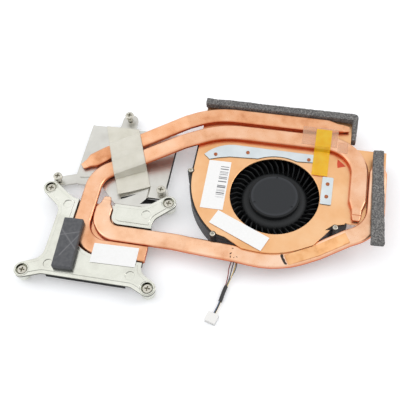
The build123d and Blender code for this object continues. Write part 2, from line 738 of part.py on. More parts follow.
def flat_pipe(stations, start_pinch=None, end_pinch=None):
    """Flattened tube along stations of (x, y, z, bend radius): level bends, slopes on straight runs."""
    pieces = []
    spot = Vector(*stations[0][:3])
    first_run = Vector(*stations[1][:3]) - spot
    for before, here, after in zip(stations, stations[1:], stations[2:]):
        corner = Vector(*here[:3])
        radius = here[3]
        back = level_direction(corner, Vector(*before[:3]))
        ahead = level_direction(corner, Vector(*after[:3]))
        turn = 180 - back.get_angle(ahead)
        reach = radius * tan(radians(turn / 2))
        pieces.append(straight_run(spot, corner + back * reach))
        if radius:
            pieces.append(level_bend(corner + back * reach, back * -1, ahead, radius, turn))
        spot = corner + ahead * reach
    last = Vector(*stations[-1][:3])
    pieces.append(straight_run(spot, last))
    if start_pinch:
        pieces += pinched_end(Vector(*stations[0][:3]), first_run * -1, start_pinch)
    if end_pinch:
        pieces += pinched_end(last, last - spot, end_pinch)
    return Part() + pieces


def level_direction(start, stop):
    return Vector(stop.X - start.X, stop.Y - start.Y, 0).normalized()


def pipe_section(spot, along, width=PIPE_WIDTH, thick=PIPE_THICK):
    """Flattened tube section standing upright across a run."""
    level = Vector(along.X, along.Y, 0).normalized()
    plane = Plane(origin=spot, x_dir=(-level.Y, level.X, 0), z_dir=level)
    return plane * SlotOverall(width, thick)


def straight_run(start, stop):
    run = stop - start
    return extrude(pipe_section(start, run), run.length, dir=run.normalized())


def level_bend(start, along, ahead, radius, turn):
    side = 1 if along.cross(ahead).Z > 0 else -1
    centre = start + Vector(-along.Y, along.X, 0) * (side * radius)
    return revolve(pipe_section(start, along), Axis(centre, (0, 0, side)), revolution_arc=turn)


def pinched_end(spot, along, lengths):
    """Sealed end: the flat tube narrows to a neck, and its tip is crimped flat."""
    level = Vector(along.X, along.Y, 0).normalized()
    taper, neck, tip = lengths
    neck_start = spot + level * taper
    neck_end = neck_start + level * neck
    shoulder = pipe_section(neck_start, level, NECK_WIDTH, NECK_THICK)
    return [
        loft([pipe_section(spot, level), shoulder]),
        loft([shoulder, pipe_section(neck_end, level, CRIMP_WIDTH, NECK_THICK)]),
        loft([
            pipe_section(neck_end, level, CRIMP_WIDTH, CRIMP_THICK),
            pipe_section(neck_end + level * tip, level, TIP_WIDTH, TIP_THICK),
        ]),
    ]


GPU_PIPE_STEP = PIPE_WIDTH + DIAGONAL_GAP
GPU_PIPE_Z = GPU_TOP + PIPE_THICK / 2
GPU_RAMP_X = GPU_X
SEAT_BEND_REACH = SEAT_BEND_R * tan(radians((90 - DIAGONAL) / 2))
CPU_RAMP_X = LEFT_PIPE_X + SEAT_BEND_REACH * cos(radians(DIAGONAL)) + RAMP_ROOM


def gpu_pipe():
    """Pipe from the graphics chip to the rear fins."""
    bend = on_diagonal(GPU_X - GPU_PIPE_BACK, GPU_PIPE_STEP)
    foot_x, foot_y = GPU_PIPE_FOOT
    meet_x = diagonal_meets(REAR_OUTER_Y, GPU_PIPE_STEP)
    return flat_pipe(
        [
            (bend[0] - foot_x, bend[1] - foot_y, GPU_PIPE_Z, 0),
            (*bend, GPU_PIPE_Z, GPU_BEND_R),
            (*on_diagonal(GPU_RAMP_X, GPU_PIPE_STEP), GPU_PIPE_Z, 0),
            (*on_diagonal(RAMP_END_X, GPU_PIPE_STEP), FIN_PIPE_Z, 0),
            (meet_x, REAR_OUTER_Y, FIN_PIPE_Z, REAR_BEND_R),
            (FAN_RIGHT - GPU_PIPE_SHORT, REAR_OUTER_Y, FIN_PIPE_Z, 0),
        ],
        start_pinch=SHORT_PINCH,
        end_pinch=LONG_PINCH,
    )


def cpu_rear_pipe():
    """Pipe from the processor along the rear fins and down the side fins."""
    return flat_pipe(
        [
            (EDGE_RIGHT + SEAT_PIPE_OVERHANG, SEAT_OUTER_Y, SEAT_PIPE_Z, 0),
            (LEFT_PIPE_X, SEAT_OUTER_Y, SEAT_PIPE_Z, SEAT_BEND_R),
            (LEFT_PIPE_X, DIAGONAL_START_Y, SEAT_PIPE_Z, SEAT_BEND_R),
            (*on_diagonal(CPU_RAMP_X, 0), SEAT_PIPE_Z, 0),
            (*on_diagonal(RAMP_END_X, 0), FIN_PIPE_Z, 0),
            (diagonal_meets(REAR_PIPE_Y, 0), REAR_PIPE_Y, FIN_PIPE_Z, REAR_BEND_R),
            (SIDE_PIPE_X, REAR_PIPE_Y, FIN_PIPE_Z, CORNER_BEND_R),
            (SIDE_PIPE_X, SIDE_STACK_FRONT + REAR_PIPE_END, FIN_PIPE_Z, 0),
        ],
        end_pinch=LONG_PINCH,
    )


SEAT_EXIT_RUN = (SEAT_INNER_Y - FRONT_BEND[1]) / tan(radians(FRONT_APPROACH))
SEAT_EXIT = (FRONT_BEND[0] - SEAT_EXIT_RUN, SEAT_INNER_Y)
FRONT_BEND_REACH = FRONT_BEND_R * tan(radians(FRONT_TURN / 2))
FRONT_RAMP_X = FRONT_BEND[0] + FRONT_BEND_REACH * cos(radians(FRONT_SLOPE)) + FRONT_RAMP_ROOM
FRONT_RAMP_END_X = FAN_RIGHT + FRONT_RAMP_PAST


def on_front_slope(x):
    """Point at x on the front pipe's run past the volute's cut-off."""
    return (x, FRONT_BEND[1] + (x - FRONT_BEND[0]) * tan(radians(FRONT_SLOPE)))


def on_front_approach(x):
    """Point at x on the front pipe's run from the processor to the fan."""
    return (x, FRONT_BEND[1] - (x - FRONT_BEND[0]) * tan(radians(FRONT_APPROACH)))


def cpu_front_pipe():
    """Pipe from the processor past the front of the fan to the side fins."""
    return flat_pipe(
        [
            (LEFT_INNER_X, CPU_Y + FRONT_PIPE_START, SEAT_PIPE_Z, 0),
            (LEFT_INNER_X, SEAT_INNER_Y, SEAT_PIPE_Z, SEAT_INNER_BEND_R),
            (*SEAT_EXIT, SEAT_PIPE_Z, REAR_BEND_R),
            (*on_front_approach(SEAT_EXIT[0] + SEAT_EXIT_LEVEL), SEAT_PIPE_Z, 0),
            (*on_front_approach(FRONT_BEND[0] - FRONT_LEVEL), FRONT_PIPE_Z, 0),
            (*FRONT_BEND, FRONT_PIPE_Z, FRONT_BEND_R),
            (*on_front_slope(FRONT_RAMP_X), FRONT_PIPE_Z, 0),
            (*on_front_slope(FRONT_RAMP_END_X), FIN_PIPE_Z, 0),
            (*on_front_slope(SIDE_OUTER_X), FIN_PIPE_Z, SIDE_BEND_R),
            (SIDE_OUTER_X, SIDE_STACK_REAR - FRONT_PIPE_SHORT, FIN_PIPE_Z, 0),
        ],
        start_pinch=SHORT_PINCH,
        end_pinch=LONG_PINCH,
    )


# Processor bracket

CPU_SCREWS = [
    (CPU_X + sx * CPU_SPAN_X / 2, CPU_Y + sy * CPU_SPAN_Y / 2) for sy in (1, -1) for sx in (-1, 1)
]
ARM_ROOTS = [
    (root_x, root_y)
    for root_y in (EDGE_REAR - ARM_ROOT_REAR, EDGE_FRONT + ARM_ROOT_FRONT)
    for root_x in (EDGE_LEFT + ARM_ROOT_X, EDGE_RIGHT - ARM_ROOT_X)
]


def on_bracket_edge(vertex):
    beside = min(abs(vertex.X - EDGE_LEFT), abs(vertex.X - EDGE_RIGHT))
    across = min(abs(vertex.Y - EDGE_REAR), abs(vertex.Y - EDGE_FRONT))
    return min(beside, across) < FIT


def bracket_outline():
    """Rectangular sheet with an arm reaching out to each screw, in smooth hollows."""
    shape = plate(EDGE_LEFT, EDGE_RIGHT, EDGE_FRONT, EDGE_REAR)
    for (x, y), (root_x, root_y) in zip(CPU_SCREWS, ARM_ROOTS):
        shape += rounded_hull(x, y, ARM_R, root_x, root_y, ARM_ROOT_R)
    return fillet(shape.vertices().filter_by(on_bracket_edge), ARM_FILLET)


def pipe_channel(extra):
    """Plan of the room that the two pipes take, from the rear edge round to the right edge."""
    reach = HALF_PIPE + CHANNEL_GAP + extra
    far = BRACKET_LEFT + BRACKET_RIGHT + BRACKET_REAR + BRACKET_FRONT
    left = LEFT_PIPE_X - reach
    low = SEAT_OUTER_Y - reach
    block = plate(left, left + far, low, low + far)
    block = fillet(block.vertices().group_by(Axis.Y)[0].sort_by(Axis.X)[:1], SEAT_BEND_R + reach)
    inner_x = LEFT_INNER_X + reach
    inner_y = SEAT_INNER_Y + reach
    inner_r = max(SEAT_INNER_BEND_R - reach, CHANNEL_MIN_R)
    keep = plate(inner_x, inner_x + 2 * far, inner_y, inner_y + 2 * far)
    keep = fillet(keep.vertices().group_by(Axis.Y)[0].sort_by(Axis.X)[:1], inner_r)
    return block - keep


def cpu_bracket():
    """Pressed sheet: raised lands with a lower rim, round a sunk channel that the pipes lie in."""
    outline = bracket_outline()
    lands = outline - pipe_channel(0)
    walls = lands & pipe_channel(BRACKET_SHEET)
    window = Pos(CPU_X, CPU_Y) * Rectangle(COLD_X + 2 * FIT, COLD_Y + 2 * FIT)
    pan = (outline & pipe_channel(BRACKET_SHEET)) - window
    pan &= plate(EDGE_LEFT, EDGE_RIGHT, EDGE_FRONT, EDGE_REAR)
    flange = plate(
        EDGE_LEFT + FLANGE_INSET_X, EDGE_RIGHT - FLANGE_INSET_X, EDGE_FRONT, EDGE_FRONT + BRACKET_SHEET
    )
    crown = BRACKET_TOP + LAND_RISE
    bracket = slab(lands, BRACKET_TOP - BRACKET_SHEET, BRACKET_TOP)
    bracket += slab(offset(lands, -LAND_LIP), BRACKET_TOP, crown)
    bracket += slab(walls - window, BRACKET_BASE, BRACKET_TOP)
    bracket += slab(pan, BRACKET_BASE, CPU_SEAT)
    bracket += slab(flange, BRACKET_TOP - FRONT_FLANGE, BRACKET_TOP)
    for x, y in ARM_ROOTS:
        bracket -= disc(x, y, DIMPLE_R, crown - DIMPLE_DEPTH, crown)
    for x, y in CPU_SCREWS:
        bracket -= disc(x, y, BUSH_R + FIT, BRACKET_BASE, crown)
    return bracket


def bracket_bushes():
    """Turned cups pressed into the arms: each holds a screw head."""
    bushes = []
    for x, y in CPU_SCREWS:
        rim = BRACKET_TOP + BUSH_RIM
        floor = BUSH_BOTTOM + BUSH_BASE
        under = BRACKET_TOP - BRACKET_SHEET
        bush = disc(x, y, BUSH_R, BUSH_BOTTOM, rim)
        bush += disc(x, y, BUSH_R + BUSH_COLLAR, under - BUSH_COLLAR_SHEET, under)
        bush -= disc(x, y, BUSH_R - BUSH_WALL, floor, rim)
        bush -= disc(x, y, HOLE_R, BUSH_BOTTOM, floor)
        bushes.append(bush)
    return bushes


def cpu_cold_plate():
    block = Pos(CPU_X, CPU_Y) * RectangleRounded(COLD_X, COLD_Y, BLOCK_CORNER)
    return slab(block, CPU_SEAT - COLD_THICK, CPU_SEAT)


# Graphics chip plate

GPU_SCREWS = [(GPU_X - GPU_SPAN / 2, GPU_Y), (GPU_X + GPU_SPAN / 2, GPU_Y), (GPU_X, GPU_Y + GPU_REACH)]
LIFT_X = GPU_SCREWS[1][0] - GPU_LIFT_RUN


def gpu_plate():
    """Flat sheet with three ears, a flange down its right side and a slit under the raised right ear."""
    shape = make_face(
        Polyline(
            (GPU_LEFT, GPU_REAR),
            (GPU_RIGHT, GPU_REAR),
            (GPU_RIGHT, GPU_Y + GPU_CORNER),
            (GPU_RIGHT - GPU_CORNER, GPU_FRONT),
            (GPU_X + GPU_CORNER, GPU_FRONT),
            (GPU_X - GPU_CORNER, GPU_Y),
            (GPU_LEFT + GPU_CORNER / 2, GPU_Y),
            (GPU_LEFT, GPU_Y + GPU_CORNER),
            close=True,
        )
    )
    left_x, left_y = GPU_SCREWS[0]
    rear_x, rear_y = GPU_SCREWS[2]
    shape += rounded_hull(rear_x, rear_y, GPU_REAR_EAR_R, rear_x, GPU_REAR - GPU_EAR_ROOT, GPU_REAR_EAR_R)
    on_edge = shape.vertices().filter_by(lambda v: abs(v.Y - GPU_REAR) < FIT)
    shape = fillet(on_edge.sort_by(Axis.X)[1:-1], GPU_REAR_FILLET)
    shape += rounded_hull(
        left_x, left_y, GPU_EAR_R, GPU_LEFT + GPU_EAR_ROOT, GPU_Y + GPU_EAR_ROOT, GPU_EAR_R
    )
    shape -= ear_slit()
    for x, y in CPU_SCREWS:
        shape -= Pos(x, y) * Circle(BUSH_R + BUSH_ROOM)
    flange = plate(GPU_RIGHT - GPU_SHEET, GPU_RIGHT, GPU_Y + GPU_CORNER, GPU_REAR)
    bead = Pos(GPU_X + GPU_BEAD_X, GPU_Y + GPU_BEAD_Y) * Rot(0, 0, GPU_BEAD_TURN)
    sheet = slab(shape, GPU_BOTTOM, GPU_TOP)
    sheet += slab(flange, GPU_TOP - GPU_FLANGE, GPU_TOP)
    sheet += slab(bead * SlotOverall(GPU_BEAD_LENGTH, GPU_BEAD_WIDTH), GPU_TOP, GPU_TOP + GPU_BEAD_RISE)
    sheet += raised_ear()
    for x, y in GPU_SCREWS:
        sheet -= disc(x, y, HOLE_R, 0, GPU_TOP + GPU_LIFT)
    return sheet


def ear_slit():
    """Plan of the sheet that is cut away under and beside the raised ear."""
    ear_rear = GPU_Y + GPU_LIFT_R + GPU_SLIT
    ear_front = GPU_Y - GPU_LIFT_R - GPU_SLIT
    beside = plate(LIFT_X - GPU_LIFT_RAMP, GPU_RIGHT + PAST, ear_front, ear_rear)
    wedge = Polyline(
        (LIFT_X - GPU_SLIT_LEFT, GPU_Y - GPU_SLIT_FRONT),
        (LIFT_X - GPU_LIFT_RAMP, ear_front),
        (GPU_RIGHT + PAST, ear_front),
        (GPU_RIGHT + PAST, GPU_Y - GPU_SLIT_END),
        close=True,
    )
    return beside + make_face(wedge)


def raised_ear():
    """Right ear, bent up from the sheet by a short ramp."""
    x, y = GPU_SCREWS[1]
    ramp_x = LIFT_X - GPU_LIFT_RAMP
    profile = [
        Vector(ramp_x - GPU_SHEET, y, GPU_BOTTOM),
        Vector(ramp_x, y, GPU_BOTTOM),
        Vector(LIFT_X, y, GPU_BOTTOM + GPU_LIFT),
        Vector(x + GPU_LIFT_R, y, GPU_BOTTOM + GPU_LIFT),
    ]
    outline = plate(ramp_x - GPU_SHEET, x, y - GPU_LIFT_R, y + GPU_LIFT_R) + Pos(x, y) * Circle(GPU_LIFT_R)
    return bent_strip(profile, 2 * GPU_LIFT_R, GPU_SHEET) & slab(outline, 0, FAN_HEIGHT)


def gpu_cold_plate():
    block = Pos(GPU_X, GPU_Y + GPU_REACH / 3) * RectangleRounded(GPU_BLOCK, GPU_BLOCK, BLOCK_CORNER)
    return slab(block, GPU_BOTTOM - GPU_BLOCK_THICK, GPU_BOTTOM)


# Captive screws

RING_BOTTOM = THREAD_LENGTH + RING_PLAY


def captive_screw(x, y, top):
    """Pan-head screw with a groove above its short thread."""
    head = disc(x, y, HEAD_R, top - HEAD_THICK, top)
    head = fillet(head.edges().sort_by(Axis.Z)[-1:], HEAD_EDGE)
    head -= cross_recess(x, y, HEAD_R, top, RECESS_DEPTH)
    groove_top = RING_BOTTOM + RING_SHEET + RING_PLAY
    neck = disc(x, y, NECK_R, groove_top, top - HEAD_THICK)
    groove = disc(x, y, GROOVE_R, THREAD_LENGTH, groove_top)
    thread = disc(x, y, THREAD_R, 0, THREAD_LENGTH)
    thread = chamfer(thread.edges().sort_by(Axis.Z)[:1], THREAD_EDGE)
    return head + neck + groove + thread


def retaining_ring(x, y):
    """Split spring ring that keeps the screw in its hole."""
    shape = Circle(RING_R) - Circle(GROOVE_R + FIT)
    shape -= plate(0, RING_R + PAST, -RING_MOUTH / 2, RING_MOUTH / 2)
    return slab(Pos(x, y) * shape, RING_BOTTOM, RING_BOTTOM + RING_SHEET)


# Soft and thin pieces


def rear_foam():
    """Foam gasket along the rear outlet that wraps round the right end of the fins."""
    right = SHEET_REAR_RIGHT + FOAM_END_GAP
    back = FOAM_REAR_FRONT + FOAM_REAR_DEPTH
    top = FAN_HEIGHT + FOAM_REAR_HEIGHT
    low = FAN_HEIGHT - FOAM_WRAP_DROP
    near = FOAM_REAR_FRONT - FOAM_WRAP_REACH
    strip = box_between((-FAN_LEFT, FOAM_REAR_FRONT, FAN_HEIGHT), (right + FOAM_END_SHEET, back, top))
    wrap = Polyline(
        (back, top), (FOAM_REAR_FRONT, top), (near, FAN_HEIGHT), (near, low), (back, low), close=True
    )
    foam = strip + Pos(right, 0, 0) * extrude(Plane.YZ * make_face(wrap), FOAM_END_SHEET)
    upright = foam.edges().filter_by(Axis.Z).group_by(Axis.X)[-1]
    return fillet(upright.sort_by(Axis.Y)[-1:], FOAM_CORNER)


def side_foam():
    """Foam gasket on the outer side pipe, laid a little askew."""
    middle = SIDE_STACK_REAR - FOAM_SIDE_SHORT - FOAM_SIDE_LENGTH / 2
    place = Pos(SIDE_OUTER_X + FOAM_SIDE_STEP, middle) * Rot(0, 0, FOAM_SIDE_TURN)
    bottom = PIPE_TOP + SKIN_GAP
    return slab(place * Rectangle(FOAM_SIDE_WIDTH, FOAM_SIDE_LENGTH), bottom, bottom + FOAM_SIDE_HEIGHT)


def bracket_pad():
    shape = Pos(CPU_X + PAD_X, CPU_Y + PAD_Y) * Rot(0, 0, PAD_TURN) * Rectangle(PAD_WIDTH, PAD_LENGTH)
    bottom = SEAT_TOP + SKIN_GAP
    pad = slab(shape, bottom, bottom + PAD_THICK)
    return fillet(pad.edges().group_by(Axis.Z)[-1], PAD_EDGE)


def thin_label(x, y, size, turn, bottom):
    shape = Pos(x, y) * Rot(0, 0, turn) * Rectangle(*size)
    return slab(shape, bottom + SKIN_GAP, bottom + SKIN_GAP + LABEL_SHEET)


def barcode_label():
    return thin_label(*BARCODE_PLACE, BARCODE_SIZE, BARCODE_TURN, FAN_HEIGHT)


def cover_label():
    """Second label on the cover, with its corner on the first one."""
    bottom = FAN_HEIGHT + SKIN_GAP + LABEL_SHEET
    return thin_label(*COVER_LABEL_PLACE, COVER_LABEL_SIZE, COVER_LABEL_TURN, bottom)


def pipe_label():
    x, y = PIPE_LABEL_PLACE
    return thin_label(CPU_X + x, SEAT_OUTER_Y + y, PIPE_LABEL_SIZE, PIPE_LABEL_TURN, SEAT_TOP)


def cover_strip():
    """Thin steel strip on the cover behind the inlet, with a curved and pointed left end."""
    corners = [(x, INLET_R + y) for x, y in STRIP_CORNERS]
    crown = (STRIP_CROWN[0], INLET_R + STRIP_CROWN[1])
    edges = [Polyline(*corners), ThreePointArc(corners[-1], crown, corners[0])]
    shape = make_face(Curve() + edges) - Circle(INLET_R + STRIP_GAP)
    return slab(shape, FAN_HEIGHT, FAN_HEIGHT + STRIP_SHEET)


def cover_clip():
    x, y = CLIP_PLACE
    shape = Pos(INLET_R + x, y) * RectangleRounded(*CLIP_SIZE, CLIP_CORNER)
    return slab(shape - Circle(INLET_R + CLIP_GAP), FAN_HEIGHT, FAN_HEIGHT + STRIP_SHEET)


def strip_rivets():
    spots = [(x, INLET_R + y) for x, y in STRIP_RIVETS] + [(INLET_R + x, y) for x, y in CLIP_RIVETS]
    top = FAN_HEIGHT + STRIP_SHEET
    return [disc(x, y, RIVET_R, top, top + RIVET_HEAD) for x, y in spots]


def pipe_tongue():
    """Thin copper sheet that lies along the front pipe beside the fan."""
    across = Vector(*polar(TONGUE_STEP, FRONT_SLOPE + 90))
    low = FRONT_PIPE_Z + PIPE_THICK / 2 + TONGUE_LIFT
    high = FIN_PIPE_Z + PIPE_THICK / 2 + TONGUE_LIFT
    points = [
        Vector(*on_front_slope(FRONT_BEND[0] + TONGUE_START), low) + across,
        Vector(*on_front_slope(FRONT_RAMP_X), low) + across,
        Vector(*on_front_slope(FRONT_RAMP_END_X), high) + across,
    ]
    return bent_strip(points, PIPE_WIDTH - TONGUE_INSET, TONGUE_SHEET)


def bent_strip(points, width, sheet):
    """Thin flat strip along a line of points, level across its width."""
    along = Vector(points[-1].X - points[0].X, points[-1].Y - points[0].Y, 0).normalized()
    across = Vector(-along.Y, along.X, 0)
    plane = Plane(origin=points[0] - across * (width / 2), x_dir=along, z_dir=across * -1)
    lower = [((point - points[0]).dot(along), point.Z - points[0].Z) for point in points]
    upper = [(run, rise + sheet) for run, rise in reversed(lower)]
    return extrude(plane * make_face(Polyline(*lower, *upper, close=True)), -width)


def draped_tape(x0, x1, profile):
    """Thin tape that follows a profile of (y, z) points."""
    upper = [(y, z + TAPE_SHEET) for y, z in reversed(profile)]
    return Pos(x0, 0, 0) * extrude(Plane.YZ * make_face(Polyline(*profile, *upper, close=True)), x1 - x0)


def clear_tape():
    top = PIPE_TOP + SKIN_GAP
    near = REAR_PIPE_Y - HALF_PIPE + CLEAR_NEAR
    far = REAR_OUTER_Y - HALF_PIPE + CLEAR_FAR
    return draped_tape(CLEAR_FROM_X, CLEAR_TO_X, [(near, top), (far, top)])


def amber_tape():
    """Tape from the cover, over the strip's end and up onto the pipes."""
    top = PIPE_TOP + 2 * SKIN_GAP + TAPE_SHEET
    low = FAN_HEIGHT + STRIP_SHEET + SKIN_GAP
    edge = REAR_PIPE_Y - HALF_PIPE - SKIN_GAP - TAPE_SHEET
    profile = [
        (INLET_R + AMBER_Y, low),
        (edge - AMBER_FLARE, low),
        (edge, top - AMBER_ROUND),
        (edge + AMBER_ROUND, top),
        (edge + AMBER_FAR, top),
    ]
    left = INLET_R + AMBER_X
    return draped_tape(left, left + AMBER_WIDTH, profile)


def corner_tape():
    x, y = CORNER_TAPE_PLACE
    bottom = PIPE_TOP + SKIN_GAP
    shape = Pos(FAN_RIGHT + x, REAR_PIPE_Y + y) * Rectangle(*CORNER_TAPE_SIZE)
    return slab(shape, bottom, bottom + TAPE_SHEET)


def pipe_film():
    """Insulating film from the plate over both pipes and down to the plate again."""
    along = Vector(*polar(1, DIAGONAL))
    film = loft([film_section(along, 0), film_section(along, FILM_WIDTH)], ruled=True)
    rear = GPU_REAR - FIT
    return film - box_between((GPU_LEFT, rear, 0), (GPU_RIGHT, rear + FILM_WIDTH, FAN_HEIGHT))


def film_section(along, run):
    """Thin closed section of the film across the pipes, run millimetres along them."""
    across = Vector(-along.Y, along.X, 0)
    base = Vector(*on_diagonal(FILM_X, 0), 0) + along * run
    step = GPU_PIPE_STEP
    inner_rise = (FIN_PIPE_Z - SEAT_PIPE_Z) / (RAMP_END_X - CPU_RAMP_X)
    inner_top = SEAT_TOP + max(base.X - CPU_RAMP_X, 0) * inner_rise + FILM_ROOM
    outer_rise = (FIN_PIPE_Z - GPU_PIPE_Z) / (RAMP_END_X - GPU_RAMP_X)
    outer_x = base.X + across.X * step
    outer_top = GPU_TOP + PIPE_THICK + max(outer_x - GPU_RAMP_X, 0) * outer_rise + FILM_ROOM
    low = GPU_TOP + FILM_FLOAT
    edge = HALF_PIPE + FILM_SIDE
    section = [
        (step + edge + FILM_REAR_REACH, low),
        (step + edge + FILM_FLARE, low),
        (step + edge, outer_top - FILM_SHOULDER),
        (step + edge - FILM_ROUND, outer_top),
        (step - edge + FILM_ROUND, outer_top),
        (edge - FILM_ROUND, inner_top),
        (-edge + FILM_ROUND, inner_top),
        (-edge, inner_top - FILM_SHOULDER),
        (-edge - FILM_FLARE, low),
        (-edge - FILM_FRONT_REACH, low),
    ]
    skew = along * tan(radians(FILM_TURN))
    lower = [base + (across + skew) * side + Vector(0, 0, z) for side, z in section]
    upper = [point + Vector(0, 0, FILM_SHEET) for point in reversed(lower)]
    return make_face(Polyline(*lower, *upper, close=True))


# Fan lead


def bend_radii(route):
    """Largest bends that the straight runs leave room for."""
    radii = []
    for before, point, after in zip(route, route[1:], route[2:]):
        back = Vector(*before) - Vector(*point)
        ahead = Vector(*after) - Vector(*point)
        turn = 180 - back.get_angle(ahead)
        shorter = min(back.length, ahead.length)
        radii.append(BEND_SHARE * shorter / tan(radians(turn / 2)))
    return radii


def lead_path():
    return FilletPolyline(*LEAD_ROUTE, radius=bend_radii(LEAD_ROUTE))


def round_tube(path, diameter):
    return sweep(Plane(origin=path @ 0, z_dir=path % 0) * Circle(diameter / 2), path=path)


def lead_sleeve():
    """Short shrink tube round the middle of the lead."""
    path = lead_path().trim(*SLEEVE_SPAN)
    section = Circle(SLEEVE_D / 2) - Circle(LEAD_D / 2 + FIT)
    return sweep(Plane(origin=path @ 0, z_dir=path % 0) * section, path=path)


def lead_connector():
    """Small nylon plug at the end of the lead, lying on the table."""
    end = lead_path() @ 1
    along = lead_path() % 1
    turn = Vector(0, -1, 0).get_signed_angle(Vector(along.X, along.Y, 0), Vector(0, 0, 1))
    width, length, height = CONNECTOR_SIZE
    body = Pos(0, -length / 2 - FIT, height / 2) * Box(width, length, height)
    body = fillet(body.edges().filter_by(Axis.Z), CONNECTOR_EDGE)
    for index in range(CONNECTOR_WAYS):
        x = (index - (CONNECTOR_WAYS - 1) / 2) * CONTACT_PITCH
        body -= Pos(x, -length - FIT, height / 2) * Box(*CONTACT_SIZE)
    return Pos(end.X, end.Y, 0) * Rot(0, 0, turn) * body


def build():
    nodes = {
        "fan_frame": fan_frame(),
        "fan_cover": fan_cover(),
        "cover_screws": cover_screws(),
        "impeller": impeller(),
        "rotor_yoke": rotor_yoke(),
        "magnet_ring": magnet_ring(),
        "rotor_shaft": rotor_shaft(),
        "bearing_sleeve": bearing_sleeve(),
        "thrust_washer": thrust_washer(),
        "stator_core": stator_core(),
        "stator_coils": stator_coils(),
        "motor_board": motor_board(),
        "rear_fin_stack": rear_fin_stack(),
        "side_fin_stack": side_fin_stack(),
        "gpu_pipe": gpu_pipe(),
        "cpu_rear_pipe": cpu_rear_pipe(),
        "cpu_front_pipe": cpu_front_pipe(),
        "pipe_tongue": pipe_tongue(),
        "cpu_bracket": cpu_bracket(),
        "bracket_bushes": bracket_bushes(),
        "cpu_cold_plate": cpu_cold_plate(),
        "gpu_plate": gpu_plate(),
        "gpu_cold_plate": gpu_cold_plate(),
        "rear_foam": rear_foam(),
        "side_foam": side_foam(),
        "bracket_pad": bracket_pad(),
        "barcode_label": barcode_label(),
        "cover_label": cover_label(),
        "pipe_label": pipe_label(),
        "cover_strip": cover_strip(),
        "cover_clip": cover_clip(),
        "strip_rivets": strip_rivets(),
        "clear_tape": clear_tape(),
        "amber_tape": amber_tape(),
        "corner_tape": corner_tape(),
        "pipe_film": pipe_film(),
        "fan_lead": round_tube(lead_path(), LEAD_D),
        "lead_sleeve": lead_sleeve(),
        "lead_connector": lead_connector(),
    }
    for index, (x, y) in enumerate(CPU_SCREWS, start=1):
        nodes[f"cpu_screw_{index}"] = captive_screw(x, y, CPU_SCREW_TOP)
        nodes[f"cpu_screw_ring_{index}"] = retaining_ring(x, y)
    for index, (x, y) in enumerate(GPU_SCREWS, start=1):
        nodes[f"gpu_screw_{index}"] = captive_screw(x, y, GPU_SCREW_TOP)
        nodes[f"gpu_screw_ring_{index}"] = retaining_ring(x, y)
    return nodes


os.makedirs("parts", exist_ok=True)
for name, shape in build().items():
    solids = shape if isinstance(shape, list) else [shape]
    pieces = [solid for piece in solids for solid in piece.solids()]
    export_step(pieces[0] if len(pieces) == 1 else Compound(children=pieces), f"parts/{name}.step")
print("lead bend radii", [round(radius, 1) for radius in bend_radii(LEAD_ROUTE)])
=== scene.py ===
import math

import bmesh
import bpy
from mathutils import Matrix, Vector, noise


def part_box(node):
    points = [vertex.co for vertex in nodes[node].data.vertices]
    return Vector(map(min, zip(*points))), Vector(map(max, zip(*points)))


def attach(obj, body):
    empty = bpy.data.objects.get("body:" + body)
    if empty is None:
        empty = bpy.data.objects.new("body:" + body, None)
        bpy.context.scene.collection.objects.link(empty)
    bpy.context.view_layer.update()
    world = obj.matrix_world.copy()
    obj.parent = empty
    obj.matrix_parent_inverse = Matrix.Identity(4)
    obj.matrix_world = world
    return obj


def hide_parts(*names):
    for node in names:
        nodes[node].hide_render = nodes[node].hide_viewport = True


# Looks of a laptop cooling module, in the part's own frame.
# Sizes are in millimetres and angles in degrees. MM turns millimetres into metres.

MM = 0.001

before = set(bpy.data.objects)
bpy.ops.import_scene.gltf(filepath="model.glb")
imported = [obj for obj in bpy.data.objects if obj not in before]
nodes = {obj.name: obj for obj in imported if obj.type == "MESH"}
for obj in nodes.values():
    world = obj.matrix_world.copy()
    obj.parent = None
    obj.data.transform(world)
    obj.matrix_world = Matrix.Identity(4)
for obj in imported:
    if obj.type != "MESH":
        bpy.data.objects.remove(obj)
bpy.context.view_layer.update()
CARRIER = "module"  # the body that carries every soft and thin piece


def put_in_scene(name, data):
    thing = bpy.data.objects.new(name, data)
    bpy.context.scene.collection.objects.link(thing)
    return thing


# Camera and lamps

CAMERA_SPOT = Vector((11.80, -175.87, 283.70)) * MM
CAMERA_AIM = Vector((-34.22, -8.15, 10.5)) * MM
CAMERA_ROLL = -5.43
CAMERA_LENS = 61.69
SENSOR_WIDTH = 36.0
NEAREST_SEEN = 10.0
LAMP_AIM = (-30, 0, 0)
KEY_LAMP = {"spot": (600, 200, 500), "size": 450, "power": 1.6}
FILL_LAMP = {"spot": (-700, -100, 450), "size": 500, "power": 0.6}


def place_camera():
    data = bpy.data.cameras.new("camera")
    data.lens = CAMERA_LENS
    data.sensor_width = SENSOR_WIDTH
    data.clip_start = NEAREST_SEEN * MM
    camera = put_in_scene("camera", data)
    aim = (CAMERA_AIM - CAMERA_SPOT).to_track_quat("-Z", "Y").to_matrix()
    turned = aim @ Matrix.Rotation(math.radians(CAMERA_ROLL), 3, "Z")
    camera.matrix_world = Matrix.Translation(CAMERA_SPOT) @ turned.to_4x4()
    bpy.context.scene.camera = camera


def soft_lamp(name, spot, size, power):
    """Round studio lamp turned to the part, with its width in millimetres and its power in watts."""
    data = bpy.data.lights.new(name, "AREA")
    data.shape = "DISK"
    data.size = size * MM
    data.energy = power
    lamp = put_in_scene(name, data)
    lamp.location = Vector(spot) * MM
    lamp.rotation_mode = "QUATERNION"
    lamp.rotation_quaternion = (Vector(LAMP_AIM) - Vector(spot)).to_track_quat("-Z", "Y")


# Material tools


